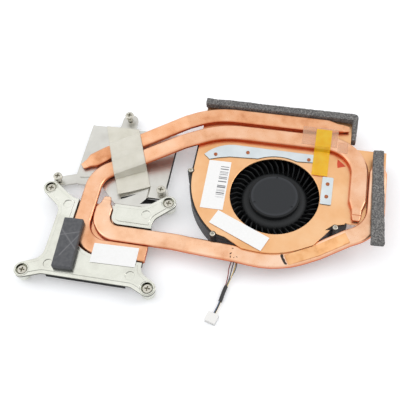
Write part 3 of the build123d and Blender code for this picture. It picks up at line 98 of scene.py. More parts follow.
def linear(hex_colour):
    """An sRGB hex value as linear red, green, blue and alpha."""
    channels = [int(hex_colour[start:start + 2], 16) / 255 for start in (1, 3, 5)]
    curve = [c / 12.92 if c <= 0.04045 else ((c + 0.055) / 1.055) ** 2.4 for c in channels]
    return (*curve, 1.0)


def per_mm(size):
    """Texture scale that gives features of a size in millimetres."""
    return 1 / (size * MM)


def set_stops(elements, stops):
    """Gives a colour ramp its stops, each a position and a hex colour."""
    while len(elements) < len(stops):
        elements.new(0.5)
    for element, (position, colour) in zip(elements, stops):
        element.position = position
        element.color = linear(colour)


def add_node(tree, kind, settings=None, links=None):
    """Adds one node, sets its values and links its sockets, which go by name or by number."""
    node = tree.nodes.new(kind)
    for name, value in (settings or {}).items():
        if name == "stops":
            set_stops(node.color_ramp.elements, value)
        elif isinstance(name, int) or name in node.inputs:
            node.inputs[name].default_value = value
        else:
            setattr(node, name, value)
    for name, source in (links or {}).items():
        tree.links.new(source, node.inputs[name])
    return node


def new_material(name):
    """An empty material, its node tree, and the place on the piece that its patterns go by."""
    material = bpy.data.materials.new(name)
    material.use_nodes = True
    tree = material.node_tree
    tree.nodes.clear()
    place = add_node(tree, "ShaderNodeTexCoord").outputs["Object"]
    return material, tree, place


EDGE_SAMPLES = 6


def handled_skin(tree, grain, edge, bump):
    """Way the surface faces where its edges are rounded and its grain stands up, both in millimetres."""
    rounded = add_node(tree, "ShaderNodeBevel", {"samples": EDGE_SAMPLES, "Radius": edge * MM})
    uneven = add_node(tree, "ShaderNodeBump", {"Strength": 1.0, "Distance": bump * MM},
                      {"Height": grain, "Normal": rounded.outputs["Normal"]})
    return uneven.outputs["Normal"]


def finish_surface(tree, settings, links):
    """Joins the surface with its values and patterns to the material's output."""
    surface = add_node(tree, "ShaderNodeBsdfPrincipled", settings, links)
    add_node(tree, "ShaderNodeOutputMaterial", links={"Surface": surface.outputs["BSDF"]})


# Kinds of surface

GRAIN_SPREAD = (0.3, 0.7)  # parts of a pattern's swing at which the darker and the paler tint are full
FAINT_SPREAD = (0.35, 0.65)
FOAM_SPREAD = (0.08, 0.42)
SIDE_FACING = 0.1  # a face that points up less than this is a side, and more than the next a top
TOP_FACING = 0.95


def worn_metal(name, blotches, blotch_size, grain_size, roughness, edge,
               stretch=(1, 1, 1), bump=0.03, sides=None):
    """Sheet or tube metal: slow blotches of tarnish, fine rolling grain, and edges rounded by handling.

    The grain is drawn coarser than the real one, so that it shows. Where sides gives a colour, the
    upright faces take that colour, which paints shade on them.
    """
    material, tree, place = new_material(name)
    blotch = add_node(tree, "ShaderNodeTexNoise",
                      {"Scale": per_mm(blotch_size), "Detail": 4.0, "Roughness": 0.55}, {"Vector": place})
    drawn = add_node(tree, "ShaderNodeMapping", {"Scale": stretch}, {"Vector": place})
    grain = add_node(tree, "ShaderNodeTexNoise", {"Scale": per_mm(grain_size), "Detail": 3.0},
                     {"Vector": drawn.outputs["Vector"]}).outputs["Fac"]
    colour = add_node(tree, "ShaderNodeValToRGB", {"stops": blotches},
                      {"Fac": blotch.outputs["Fac"]}).outputs["Color"]
    # Painted shade: faces that point up less blend towards the sides colour.
    if sides:
        facing = add_node(tree, "ShaderNodeTexCoord").outputs["Normal"]
        upward = add_node(tree, "ShaderNodeSeparateXYZ", links={"Vector": facing}).outputs["Z"]
        painted_side_shade_mask = add_node(tree, "ShaderNodeMapRange",
                            {"From Min": SIDE_FACING, "From Max": TOP_FACING}, {"Value": upward})
        colour = add_node(tree, "ShaderNodeMix", {"data_type": "RGBA", 6: linear(sides)},
                          {0: painted_side_shade_mask.outputs["Result"], 7: colour}).outputs[2]
    smooth, rough = roughness
    sheen = add_node(tree, "ShaderNodeMapRange",
                     {"From Min": GRAIN_SPREAD[0], "From Max": GRAIN_SPREAD[1],
                      "To Min": smooth, "To Max": rough}, {"Value": grain})
    finish_surface(tree, {"Metallic": 1.0}, {
        "Base Color": colour, "Roughness": sheen.outputs["Result"],
        "Normal": handled_skin(tree, grain, edge, bump),
    })
    return material


def copper_tube(name, blotches, blotch_size):
    """Drawn copper tube, pressed flat: satin pink copper, with deep red painted shade on its sides."""
    return worn_metal(name, blotches, blotch_size, grain_size=0.5, roughness=(0.27, 0.31), edge=0.6,
                      bump=0.006, sides="#cc6438")


def nickel_plate(name, sides=None):
    """Nickel on steel: a warm pale silver, bright enough to mirror its surroundings softly."""
    return worn_metal(name, [(0.30, "#d3d3c9"), (0.50, "#dedfd5"), (0.70, "#e7e7df")],
                      blotch_size=11, grain_size=0.4, roughness=(0.18, 0.26), edge=0.3, bump=0.012,
                      sides=sides)


PLASTIC_GRAIN = 0.35  # coarser than the real grain of the mould, so that it shows
PLASTIC_BUMP = 0.02


def moulded_plastic(name, colours, roughness, edge,
                    grain_size=PLASTIC_GRAIN, bump=PLASTIC_BUMP, specular=0.5):
    """Moulded plastic: one colour through and through, with the mould's fine spark-eroded grain."""
    material, tree, place = new_material(name)
    grain = add_node(tree, "ShaderNodeTexNoise", {"Scale": per_mm(grain_size), "Detail": 2.0},
                     {"Vector": place}).outputs["Fac"]
    tint = add_node(tree, "ShaderNodeValToRGB", {"stops": list(zip(GRAIN_SPREAD, colours))}, {"Fac": grain})
    finish_surface(tree, {"Roughness": roughness, "Specular IOR Level": specular},
                   {"Base Color": tint.outputs["Color"], "Normal": handled_skin(tree, grain, edge, bump)})
    return material


def wire_skin(name, colour):
    """Extruded insulation on thin hook-up wire: smooth and slightly glossy."""
    return moulded_plastic(name, (colour, colour), 0.4, 0.02, grain_size=1.5, bump=0.01)


IMPELLER_R = 21.0
IMPELLER_EDGE = 0.08
IMPELLER_LIGHT_AND_SHADE = [  # radius from the axis, and the colour there; together they paint the impeller's light and shade
    (9.6, "#2d2f32"),  # the hub's face
    (10.7, "#393b3f"),  # painted highlight on the rim of that face
    (11.2, "#141618"),  # painted shade at the hub's foot
    (12.6, "#1f2123"),
    (14.0, "#292b2d"),  # the skirt, painted a little paler as a soft highlight
    (15.4, "#0f1113"),  # the blades
]


def impeller_with_painted_light(name):
    """Moulded black plastic: a grey hub face, a painted highlight on its rim, painted shade at its foot, a
    paler skirt, deep black blades.
    """
    material, tree, place = new_material(name)
    flat = add_node(tree, "ShaderNodeVectorMath", {"operation": "MULTIPLY", 1: (1, 1, 0)}, {0: place})
    radius = add_node(tree, "ShaderNodeVectorMath", {"operation": "LENGTH"}, {0: flat.outputs["Vector"]})
    outward = add_node(tree, "ShaderNodeMath", {"operation": "DIVIDE", 1: IMPELLER_R * MM},
                       {0: radius.outputs["Value"]})
    stops = [(distance / IMPELLER_R, colour) for distance, colour in IMPELLER_LIGHT_AND_SHADE]
    tint = add_node(tree, "ShaderNodeValToRGB", {"stops": stops}, {"Fac": outward.outputs["Value"]})
    grain = add_node(tree, "ShaderNodeTexNoise", {"Scale": per_mm(PLASTIC_GRAIN), "Detail": 2.0},
                     {"Vector": place}).outputs["Fac"]
    finish_surface(tree, {"Roughness": 0.55, "Specular IOR Level": 0.25}, {
        "Base Color": tint.outputs["Color"],
        "Normal": handled_skin(tree, grain, IMPELLER_EDGE, PLASTIC_BUMP),
    })
    return material


RIPPLE_RISE = 0.1


def thin_film(name, colours, ripple_size, roughness, alpha):
    """Plastic film: partly see-through and softly glossy, with faint haze where it lies uneven."""
    material, tree, place = new_material(name)
    ripple = add_node(tree, "ShaderNodeTexNoise", {"Scale": per_mm(ripple_size), "Detail": 3.0},
                      {"Vector": place}).outputs["Fac"]
    tint = add_node(tree, "ShaderNodeValToRGB", {"stops": list(zip(FAINT_SPREAD, colours))}, {"Fac": ripple})
    uneven = add_node(tree, "ShaderNodeBump", {"Strength": 0.6, "Distance": RIPPLE_RISE * MM},
                      {"Height": ripple})
    finish_surface(tree, {"Roughness": roughness, "Alpha": alpha, "IOR": 1.5},
                   {"Base Color": tint.outputs["Color"], "Normal": uneven.outputs["Normal"]})
    return material


PAPER_CLOUD = 1.2  # width of the faint clouds that the fibres make
BAR_INK = "#7f7f83"
BAR_WIDTH = 0.8
BAR_CUT = 0.52  # more of this gives fewer and thinner bars
BAR_PATCH = ((-27.6, -5.5), (-23.6, 12.5))  # low and high corner


def grey_bars(tree, place):
    """One where a plain bar is printed inside the bars' patch, and nought elsewhere."""
    parts = add_node(tree, "ShaderNodeSeparateXYZ", links={"Vector": place}).outputs
    lines = add_node(tree, "ShaderNodeTexNoise",
                     {"noise_dimensions": "1D", "Scale": per_mm(BAR_WIDTH), "Detail": 1.0},
                     {"W": parts["Y"]})
    ink = add_node(tree, "ShaderNodeMath", {"operation": "GREATER_THAN", 1: BAR_CUT},
                   {0: lines.outputs["Fac"]}).outputs["Value"]
    for axis, start, stop in zip("XY", *BAR_PATCH):
        middle = (start + stop) / 2 * MM
        half = (stop - start) / 2 * MM
        inside = add_node(tree, "ShaderNodeMath", {"operation": "COMPARE", 1: middle, 2: half},
                          {0: parts[axis]}).outputs["Value"]
        ink = add_node(tree, "ShaderNodeMath", {"operation": "MULTIPLY"},
                       {0: ink, 1: inside}).outputs["Value"]
    return ink


def label_paper(name, colours=("#f7f7f6", "#fbfbfb"), barred=False):
    """Coated label paper: smooth, matt and faintly cloudy, bare or with a patch of plain grey bars."""
    material, tree, place = new_material(name)
    cloud = add_node(tree, "ShaderNodeTexNoise", {"Scale": per_mm(PAPER_CLOUD), "Detail": 3.0},
                     {"Vector": place}).outputs["Fac"]
    colour = add_node(tree, "ShaderNodeValToRGB", {"stops": list(zip(GRAIN_SPREAD, colours))},
                      {"Fac": cloud}).outputs["Color"]
    if barred:
        colour = add_node(tree, "ShaderNodeMix", {"data_type": "RGBA", 7: linear(BAR_INK)},
                          {0: grey_bars(tree, place), 6: colour}).outputs[2]
    finish_surface(tree, {"Roughness": 0.55}, {"Base Color": colour})
    return material


FOAM_CELL = 0.6
FOAM_CLOUD = 1.6 * FOAM_CELL
FOAM_PIT = 0.25


def foam_rubber(name, colours):
    """Open-cell polyurethane foam: a matt skin of small dark cells with paler walls between them."""
    material, tree, place = new_material(name)
    cells = add_node(tree, "ShaderNodeTexVoronoi", {"Scale": per_mm(FOAM_CELL)}, {"Vector": place})
    cloud = add_node(tree, "ShaderNodeTexNoise", {"Scale": per_mm(FOAM_CLOUD), "Detail": 4.0},
                     {"Vector": place})
    walls = add_node(tree, "ShaderNodeMath", {"operation": "MULTIPLY"},
                     {0: cells.outputs["Distance"], 1: cloud.outputs["Fac"]}).outputs["Value"]
    tint = add_node(tree, "ShaderNodeValToRGB", {"stops": list(zip(FOAM_SPREAD, colours))}, {"Fac": walls})
    uneven = add_node(tree, "ShaderNodeBump", {"Strength": 1.0, "Distance": FOAM_PIT * MM}, {"Height": walls})
    finish_surface(tree, {"Roughness": 0.95, "Specular IOR Level": 0.2},
                   {"Base Color": tint.outputs["Color"], "Normal": uneven.outputs["Normal"]})
    return material


CREASE = "crease"  # name of the pad's own record of how creased it is at each point
DUST = 1.5
DUST_RISE = 0.02


def creased_rubber(name, colours, worn):
    """Soft rubber sheet: matt and finely dusty, rubbed pale along the creases that its mesh carries."""
    material, tree, place = new_material(name)
    dust = add_node(tree, "ShaderNodeTexNoise", {"Scale": per_mm(DUST), "Detail": 5.0},
                    {"Vector": place}).outputs["Fac"]
    tint = add_node(tree, "ShaderNodeValToRGB", {"stops": list(zip(FAINT_SPREAD, colours))}, {"Fac": dust})
    crease = add_node(tree, "ShaderNodeAttribute", {"attribute_name": CREASE}).outputs["Fac"]
    rubbed = add_node(tree, "ShaderNodeMix", {"data_type": "RGBA", 7: linear(worn)},
                      {0: crease, 6: tint.outputs["Color"]})
    uneven = add_node(tree, "ShaderNodeBump", {"Strength": 1.0, "Distance": DUST_RISE * MM}, {"Height": dust})
    finish_surface(tree, {"Roughness": 0.7, "Specular IOR Level": 0.35},
                   {"Base Color": rubbed.outputs[2], "Normal": uneven.outputs["Normal"]})
    return material


# Materials of this part. A metal's tints go from its most to its least tarnished blotches.

# Heat pipes of drawn copper: one plain, one darker all over as painted shade, one paler all over as painted
# light.
COPPER_TUBE = copper_tube(
    "drawn copper tube", [(0.28, "#d8996f"), (0.46, "#eeb68f"), (0.68, "#f7caaa")], blotch_size=12)
PAINTED_SHADE_TUBE = copper_tube(
    "drawn copper tube with painted shade", [(0.28, "#d28d62"), (0.46, "#ebad82"), (0.68, "#f4c19b")],
    blotch_size=9)
PAINTED_LIGHT_TUBE = copper_tube(
    "drawn copper tube with painted light", [(0.28, "#e0a680"), (0.46, "#f4c4a0"), (0.68, "#fbd5b9")],
    blotch_size=12)

# Rolled copper sheet: yellower than the tubes and satin, with rolling lines along the part.
COPPER_SHEET = worn_metal(
    "rolled copper sheet", [(0.28, "#e5ad77"), (0.48, "#f0bb89"), (0.70, "#f5c89b")],
    blotch_size=16, grain_size=0.35, roughness=(0.30, 0.44), edge=0.15, stretch=(0.06, 1, 1), bump=0.012)

# The same sheet after soldering: brown patches beside bright ones.
SOLDERED_SHEET = worn_metal(
    "copper sheet browned by soldering", [(0.28, "#d59860"), (0.46, "#f0b782"), (0.70, "#facb9a")],
    blotch_size=7, grain_size=0.35, roughness=(0.30, 0.42), edge=0.15, stretch=(0.06, 1, 1), bump=0.012)

# Folded copper fins: thin, dull and darker than the sheet.
COPPER_FIN = worn_metal(
    "folded copper fins", [(0.30, "#b97650"), (0.70, "#dc9c76")],
    blotch_size=6, grain_size=0.4, roughness=(0.32, 0.45), edge=0.05)

# Nickel-plated steel: the pressed bracket has painted shade on its bent sides, the turned bushes have none.
NICKEL_SHEET = nickel_plate("nickel-plated pressed steel", sides="#6f6f68")
TURNED_NICKEL = nickel_plate("nickel-plated turned bush")

# Rolled aluminium sheet: pale grey and satin, with rolling lines across the part.
ALUMINIUM_SHEET = worn_metal(
    "rolled aluminium sheet", [(0.30, "#cccac4"), (0.50, "#d5d4ce"), (0.70, "#dddcd7")],
    blotch_size=12, grain_size=0.3, roughness=(0.34, 0.46), edge=0.15, stretch=(1, 0.08, 1), bump=0.01)

# Blued steel strip: a cold pale grey, even and satin, with painted shade on its cut edges.
STEEL_STRIP = worn_metal(
    "blued steel strip", [(0.30, "#d0d9dd"), (0.70, "#e1e8eb")],
    blotch_size=10, grain_size=0.3, roughness=(0.32, 0.40), edge=0.12, stretch=(0.08, 1, 1), bump=0.004,
    sides="#5a6268")

# Turned screws with thin nickel: warm grey, bright on top and dull where the plating has worn.
SCREW_STEEL = worn_metal(
    "turned nickel-plated screw", [(0.30, "#b9b6aa"), (0.70, "#d5d2c7")],
    blotch_size=2, grain_size=0.25, roughness=(0.22, 0.34), edge=0.1)

# Copper rivets: small brown-red heads.
RIVET_COPPER = worn_metal(
    "copper rivet", [(0.30, "#955638"), (0.70, "#bd7552")],
    blotch_size=1, grain_size=0.2, roughness=(0.3, 0.4), edge=0.15)

# Inside the motor: dull grey pressed steel, porous brown bronze, and glossy red-brown winding.
MOTOR_STEEL = worn_metal(
    "motor steel", [(0.30, "#77787a"), (0.70, "#8f9092")],
    blotch_size=3, grain_size=0.3, roughness=(0.35, 0.5), edge=0.05)
BRONZE = worn_metal(
    "sintered bronze", [(0.30, "#98743c"), (0.70, "#b08a4c")],
    blotch_size=1, grain_size=0.15, roughness=(0.45, 0.6), edge=0.03)
WINDING = worn_metal(
    "enamelled copper winding", [(0.30, "#8a4a22"), (0.70, "#b0652f")],
    blotch_size=1, grain_size=0.2, roughness=(0.25, 0.35), edge=0.1)

# Moulded black plastic: satin on the frame; on the impeller, light and shade painted by radius.
FRAME_PLASTIC = moulded_plastic("moulded black frame", ("#1c1c1e", "#252528"), roughness=0.48, edge=0.12)
IMPELLER_PLASTIC = impeller_with_painted_light("moulded black impeller")

# Bonded ferrite, matt and nearly black; a green coated board; and slightly waxy white nylon.
MAGNET = moulded_plastic("bonded ferrite", ("#2c2c2e", "#38383a"), roughness=0.6, edge=0.05)
BOARD = moulded_plastic("coated board", ("#12401f", "#1a5229"), roughness=0.4, edge=0.03)
NYLON = moulded_plastic("moulded nylon", ("#f2f1ee", "#f6f5f3"), roughness=0.42, edge=0.12)

# Shrunk sleeve: thin black plastic. The black sheets that stand for painted shade: thin black plastic with
# little shine.
SLEEVE_SKIN = moulded_plastic("shrunk black sleeve", ("#2a2a2b", "#353536"), roughness=0.55, edge=0.05)
SHADE_SHEET = moulded_plastic(
    "black sheet for painted shade", ("#0e0e0f", "#161618"), roughness=0.6, edge=0.02, grain_size=0.6, specular=0.15)

# Solder flux: lumpy glassy crumbs, black where burnt and brown where only warmed.
BURNT_FLUX = moulded_plastic(
    "burnt solder flux", ("#1c110a", "#3a2416"), roughness=0.45, edge=0.1, grain_size=0.5, bump=0.05)
BROWN_FLUX = moulded_plastic(
    "browned solder flux", ("#4a2c1a", "#6e452a"), roughness=0.45, edge=0.1, grain_size=0.5, bump=0.05)

# Cut foam and pressed rubber: soft, grey and without shine.
GREY_FOAM = foam_rubber("grey open-cell foam", ("#444445", "#918f8d"))
PAD_RUBBER = creased_rubber("matt pad rubber", ("#545559", "#616265"), worn="#7a7a7d")

# Films: glowing amber polyimide, clear tape that only warms the copper, and a hazy grey sheet.
AMBER_TAPE = thin_film(
    "amber polyimide tape", ("#ffc614", "#ffd432"), ripple_size=4, roughness=0.25, alpha=0.62)
CLEAR_TAPE = thin_film("clear tape", ("#f0c29e", "#f4cbaa"), ripple_size=3, roughness=0.25, alpha=0.3)
GREY_FILM = thin_film("hazy grey film", ("#e6e3d5", "#f0ede1"), ripple_size=6, roughness=0.4, alpha=0.80)

# Coated paper: clean white labels, one with grey bars, and a red scrap.
PLAIN_PAPER = label_paper("coated label paper")
BARRED_PAPER = label_paper("coated label paper with grey bars", barred=True)
RED_PAPER = label_paper("red coated paper", ("#c73c1c", "#d8522c"))

FINISHES = {
    "fan_cover": COPPER_SHEET,
    "gpu_pipe": PAINTED_SHADE_TUBE, "cpu_rear_pipe": COPPER_TUBE, "cpu_front_pipe": PAINTED_LIGHT_TUBE,
    "pipe_tongue": SOLDERED_SHEET, "cpu_cold_plate": COPPER_TUBE, "gpu_cold_plate": COPPER_TUBE,
    "rear_fin_stack": COPPER_FIN, "side_fin_stack": COPPER_FIN,
    "fan_frame": FRAME_PLASTIC, "impeller": IMPELLER_PLASTIC,
    "cpu_bracket": NICKEL_SHEET, "bracket_bushes": TURNED_NICKEL, "gpu_plate": ALUMINIUM_SHEET,
    "cover_strip": STEEL_STRIP, "cover_clip": STEEL_STRIP, "strip_rivets": RIVET_COPPER,
    "cover_screws": SCREW_STEEL, "rotor_shaft": SCREW_STEEL,
    "rotor_yoke": MOTOR_STEEL, "stator_core": MOTOR_STEEL, "magnet_ring": MAGNET,
    "bearing_sleeve": BRONZE, "thrust_washer": NYLON, "stator_coils": WINDING, "motor_board": BOARD,
    "barcode_label": BARRED_PAPER, "cover_label": PLAIN_PAPER, "pipe_label": PLAIN_PAPER,
    "clear_tape": CLEAR_TAPE, "corner_tape": CLEAR_TAPE, "amber_tape": AMBER_TAPE,
    "lead_connector": NYLON, "lead_sleeve": SLEEVE_SKIN,
}


def dress_nodes():
    """Gives each solid its finish. Those without one are replaced by softer pieces further down."""
    for name, node in nodes.items():
        finish = SCREW_STEEL if "_screw_" in name else FINISHES.get(name)
        if finish:
            node.data.materials.clear()
            node.data.materials.append(finish)


# Tools for soft and thin pieces


def add_piece(name, mesh, material, stands_for=None):
    piece = put_in_scene(name, mesh)
    mesh.materials.clear()
    mesh.materials.append(material)
    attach(piece, CARRIER)
    if stands_for:
        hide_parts(stands_for)
    return piece


def thicken(piece, thickness):
    """Gives a flat sheet its thickness on its outer side."""
    skin = piece.modifiers.new("skin", "SOLIDIFY")
    skin.thickness = thickness * MM
    skin.offset = 1.0


def mesh_from(shape, name):
    mesh = bpy.data.meshes.new(name)
    shape.to_mesh(mesh)
    shape.free()
    return mesh


def plan_axes(turn):
    """Level directions along and across a line that is turned by an angle from the part's length."""
    angle = math.radians(turn)
    along = Vector((math.cos(angle), math.sin(angle), 0))
    return along, Vector((-along.y, along.x, 0))


EASING = 0.5


def remeshed(node_name, step, rounds):
    """Fine even mesh of a solid, with its edges eased by rounds of smoothing."""
    source = put_in_scene("fine", nodes[node_name].data.copy())
    even = source.modifiers.new("even", "REMESH")
    even.mode = "VOXEL"
    even.voxel_size = step * MM
    eased = source.modifiers.new("eased", "SMOOTH")
    eased.factor = EASING
    eased.iterations = rounds
    graph = bpy.context.evaluated_depsgraph_get()
    mesh = bpy.data.meshes.new_from_object(source.evaluated_get(graph))
    bpy.data.objects.remove(source)
    return mesh


def roughen(mesh, depth, width):
    """Pushes the skin in and out along its normals, in smooth bumps of a depth and a width."""
    shifts = [noise.noise(vertex.co / (width * MM)) * (depth * MM) for vertex in mesh.vertices]
    normals = [vertex.normal.copy() for vertex in mesh.vertices]
    for vertex, normal, shift in zip(mesh.vertices, normals, shifts):
        vertex.co += normal * shift


# Foam gaskets

FOAM_STEP = 0.35
FOAM_ROUNDS = 3
FOAM_PITS = {"depth": 0.14, "width": 0.8}
FOAM_SWELLS = {"depth": 0.25, "width": 6}
FOAM_LEAN = 4.0
FOAM_FRONT_LEFT = 2.0  # how far the side foam is squeezed out past its plain solid at two of its corners
FOAM_REAR_RIGHT = 0.9


def squeeze_foam(mesh):
    """Spreads the side foam left at its front and right at its rear, as it was pressed on askew."""
    across, along = plan_axes(FOAM_LEAN)
    sides = [vertex.co.dot(across) for vertex in mesh.vertices]
    runs = [vertex.co.dot(along) for vertex in mesh.vertices]
    left, right = min(sides), max(sides)
    front, rear = min(runs), max(runs)
    for vertex, side, run in zip(mesh.vertices, sides, runs):
        rightward = (side - left) / (right - left)
        rearward = (run - front) / (rear - front)
        vertex.co -= across * (1 - rightward) * (1 - rearward) * FOAM_FRONT_LEFT * MM
        vertex.co += across * rightward * rearward * FOAM_REAR_RIGHT * MM


def foam_strip(node_name, askew=False):
    """Cut foam gasket: torn open cells leave the faces pitted and the edges soft."""
    mesh = remeshed(node_name, FOAM_STEP, FOAM_ROUNDS)
    if askew:
        squeeze_foam(mesh)
    roughen(mesh, **FOAM_PITS)
    roughen(mesh, **FOAM_SWELLS)
    mesh.shade_smooth()
    piece = add_piece(f"{node_name}_cut", mesh, GREY_FOAM, node_name)


# Rubber pad

PAD_STEP = 0.3
PAD_ROUNDS = 4
PAD_SWELLS = {"depth": 0.12, "width": 5}
PAD_SHORT = 1.8  # the cut pad stops this far behind the front of its plain solid
PAD_TOP_FACING = 0.5  # points that face up more than this are on the pad's top
PAD_CREASES = [
    ((-94.6, -37.0), (-85.9, -34.1)),
    ((-94.7, -34.0), (-84.6, -44.3)),
    ((-85.9, -35.8), (-92.1, -47.4)),
]
CREASE_HALF = 0.26
CREASE_RISE = 0.10


def distance_to_run(spot, start, stop):
    """How far a point lies from a straight run, in plan."""
    run = stop - start
    share = max(0, min(1, (spot - start).dot(run) / run.length_squared))
    return (spot - start - run * share).length


def rubber_pad():
    """Soft pad pressed on the bracket: flat, with eased edges, a slight swell and creases from handling."""
    mesh = remeshed("bracket_pad", PAD_STEP, PAD_ROUNDS)
    front = min(vertex.co.y for vertex in mesh.vertices)
    rear = max(vertex.co.y for vertex in mesh.vertices)
    for vertex in mesh.vertices:
        vertex.co.y += PAD_SHORT * MM * (rear - vertex.co.y) / (rear - front)
    roughen(mesh, **PAD_SWELLS)
    creases = [(Vector(start) * MM, Vector(stop) * MM) for start, stop in PAD_CREASES]
    strength = mesh.attributes.new(CREASE, "FLOAT", "POINT")
    for vertex, value in zip(mesh.vertices, strength.data):
        nearest = min(distance_to_run(vertex.co.xy, start, stop) for start, stop in creases)
        on_top = vertex.normal.z > PAD_TOP_FACING
        value.value = math.exp(-(nearest / (CREASE_HALF * MM)) ** 2) if on_top else 0
        vertex.co.z += value.value * CREASE_RISE * MM
    mesh.shade_smooth()
    piece = add_piece("bracket_pad_soft", mesh, PAD_RUBBER, "bracket_pad")


# Grey film over the pipes

FILM_DIAGONAL = 28.5
FILM_TURN = 6.5
FILM_WIDER = 0.4  # film past the outline of its plain solid, along the pipes and at the front
FILM_LONGER = 2.2
FILM_FRONT = 7.0  # flat front part of the film
FILM_LIP = 1.9  # the front left corner stands up off the plate
FILM_THICK = 0.12
FILM_JOIN = 0.01  # points of the solid this close are one
FILM_TOP_FACING = 0.02  # faces of the solid that point up less than this are its underside or its rim
FILM_STEP = 1.0
FILM_SPLITS = 8
FILM_ROUNDS = 6
FILM_EASING = 0.4
FILM_WAVE = 7
FILM_WAVE_RISE = 0.18
FILM_WAVE_LIFT = 0.4  # share of the rise that keeps the waves off the pipes


def spread_film(shape):
    """Draws the film out along the pipes and to the front, and curls its front left corner up."""
    along, across = plan_axes(FILM_DIAGONAL)
    skew = math.tan(math.radians(FILM_TURN))
    sides = [vertex.co.dot(across) for vertex in shape.verts]
    runs = [vertex.co.dot(along) - side * skew for vertex, side in zip(shape.verts, sides)]
    left, right = min(runs), max(runs)
    front = min(sides)
    for vertex, side, run in zip(shape.verts, sides, runs):
        rightward = (run - left) / (right - left)
        forward = max(0, 1 - (side - front) / (FILM_FRONT * MM))
        vertex.co += along * rightward * FILM_WIDER * MM
        vertex.co -= (across + along * skew) * forward * FILM_LONGER * MM
        vertex.co.z += FILM_LIP * MM * forward ** 3 * (1 - rightward) ** 2


def grey_film():
    """Insulating film laid over two pipes: one thin sheet, creased softly where it bends."""
    mesh = nodes["pipe_film"].data.copy()
    shape = bmesh.new()
    shape.from_mesh(mesh)
    bmesh.ops.remove_doubles(shape, verts=shape.verts, dist=FILM_JOIN * MM)
    under = [face for face in shape.faces if face.normal.z < FILM_TOP_FACING]
    bmesh.ops.delete(shape, geom=under, context="FACES")
    for _ in range(FILM_SPLITS):
        long_edges = [edge for edge in shape.edges if edge.calc_length() > FILM_STEP * MM]
        if not long_edges:
            break
        bmesh.ops.subdivide_edges(shape, edges=long_edges, cuts=1)
        bmesh.ops.triangulate(shape, faces=shape.faces)
    inner = [vertex for vertex in shape.verts if not vertex.is_boundary]
    for _ in range(FILM_ROUNDS):
        bmesh.ops.smooth_vert(shape, verts=inner, factor=FILM_EASING, use_axis_z=True)
    for vertex in shape.verts:
        wave = noise.noise(vertex.co / (FILM_WAVE * MM)) + FILM_WAVE_LIFT
        vertex.co.z += wave * FILM_WAVE_RISE * MM
    spread_film(shape)
    shape.to_mesh(mesh)
    shape.free()
    mesh.shade_smooth()
    thicken(add_piece("pipe_film_laid", mesh, GREY_FILM, "pipe_film"), FILM_THICK)


# Small marks and trim

PAPER = 0.06
RED_CORNER = [(27.5, 25.1), (29.7, 23.3), (31.6, 21.5), (29.6, 20.7), (27.8, 20.0), (27.4, 22.5)]
FRONT_PIPE_TOP = 9.5
FLUX_RISE = 0.14
FLUX_LINE = [  # x, y and half width
    (7.4, -30.2, 0.50), (7.4, -31.0, 0.70), (7.7, -31.9, 0.55), (8.3, -32.7, 0.75),
    (8.7, -33.6, 0.58), (9.4, -34.4, 0.72), (9.6, -35.0, 0.40),
]
FLUX_SPECKS = [  # x, y and radius
    (-14.9, -30.6, 0.30), (-15.4, -33.3, 0.42), (-15.3, -35.0, 0.38),
    (-12.4, -34.7, 0.34), (-13.7, -35.2, 0.26),
]
SPECK_STRETCH = (1.6, 0.75, 0.35, 1)
SPECK_TURN = 50  # each speck lies turned this much further than the last
SPECK_SINK = 0.2  # share of its radius by which a speck's middle lies under the pipe's top
SPECK_SPLITS = 2
SHADE_SHEET_THICK = 0.12
SHADE_STRIP_STEPS = 24
SHADE_STRIP_WANDER = 0.15
SHADE_STRIP_WANDER_STEP = 0.37
# Black strips of painted shade: under the bracket's front edge, and along the plate's right edge.
BRACKET_SHADE_STRIP = {"start": (-97.0, -55.9), "stop": (-59.5, -55.9), "low": 4.65, "high": 6.2}
PLATE_SHADE_STRIP = {"start": (-53.1, 1.0), "stop": (-53.1, 32.6), "low": 1.1, "high": 3.9}
PLATE_TOP = 4.0
PLATE_UNDER = 2.8
# Black patches of painted shade: in the slit beside the raised ear, and by the film's lifted corner.
EAR_SLIT_SHADE = [(-64.6, -11.6), (-61.9, -6.9), (-57.4, -6.9), (-54.2, -7.4), (-54.2, -9.0)]
FILM_LIP_SHADE = [
    (-73.9, -8.7), (-71.6, -7.8), (-69.4, -6.8), (-67.2, -5.8), (-69.2, -7.1), (-71.4, -8.4), (-73.6, -9.5),
]
FILM_LIP_SHADE_THICK = 0.15


def thin_patch(name, outline, low, thickness, material):
    """Thin flat piece with the given outline, lying on the height low."""
    shape = bmesh.new()
    face = shape.faces.new([shape.verts.new((x * MM, y * MM, low * MM)) for x, y in outline])
    face.normal_update()
    if face.normal.z < 0:
        face.normal_flip()
    thicken(add_piece(name, mesh_from(shape, name), material), thickness)


def red_corner():
    """Torn corner of a red paper sticker, left on the cover behind the inlet."""
    cover_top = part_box("fan_cover")[1][2] / MM
    thin_patch("red_sticker_corner", RED_CORNER, cover_top, PAPER, RED_PAPER)


def shade_strip(name, start, stop, low, high):
    """Black strip of painted shade on a flange, whose lower side wanders."""
    shape = bmesh.new()
    columns = []
    for step in range(SHADE_STRIP_STEPS + 1):
        spot = Vector(start).lerp(Vector(stop), step / SHADE_STRIP_STEPS) * MM
        wander = noise.noise(Vector((step * SHADE_STRIP_WANDER_STEP, low, 0))) * SHADE_STRIP_WANDER
        heights = ((low + wander) * MM, high * MM)
        columns.append([shape.verts.new((spot.x, spot.y, height)) for height in heights])
    for (low_a, high_a), (low_b, high_b) in zip(columns, columns[1:]):
        shape.faces.new((low_a, low_b, high_b, high_a))
    thicken(add_piece(name, mesh_from(shape, name), SHADE_SHEET), SHADE_SHEET_THICK)


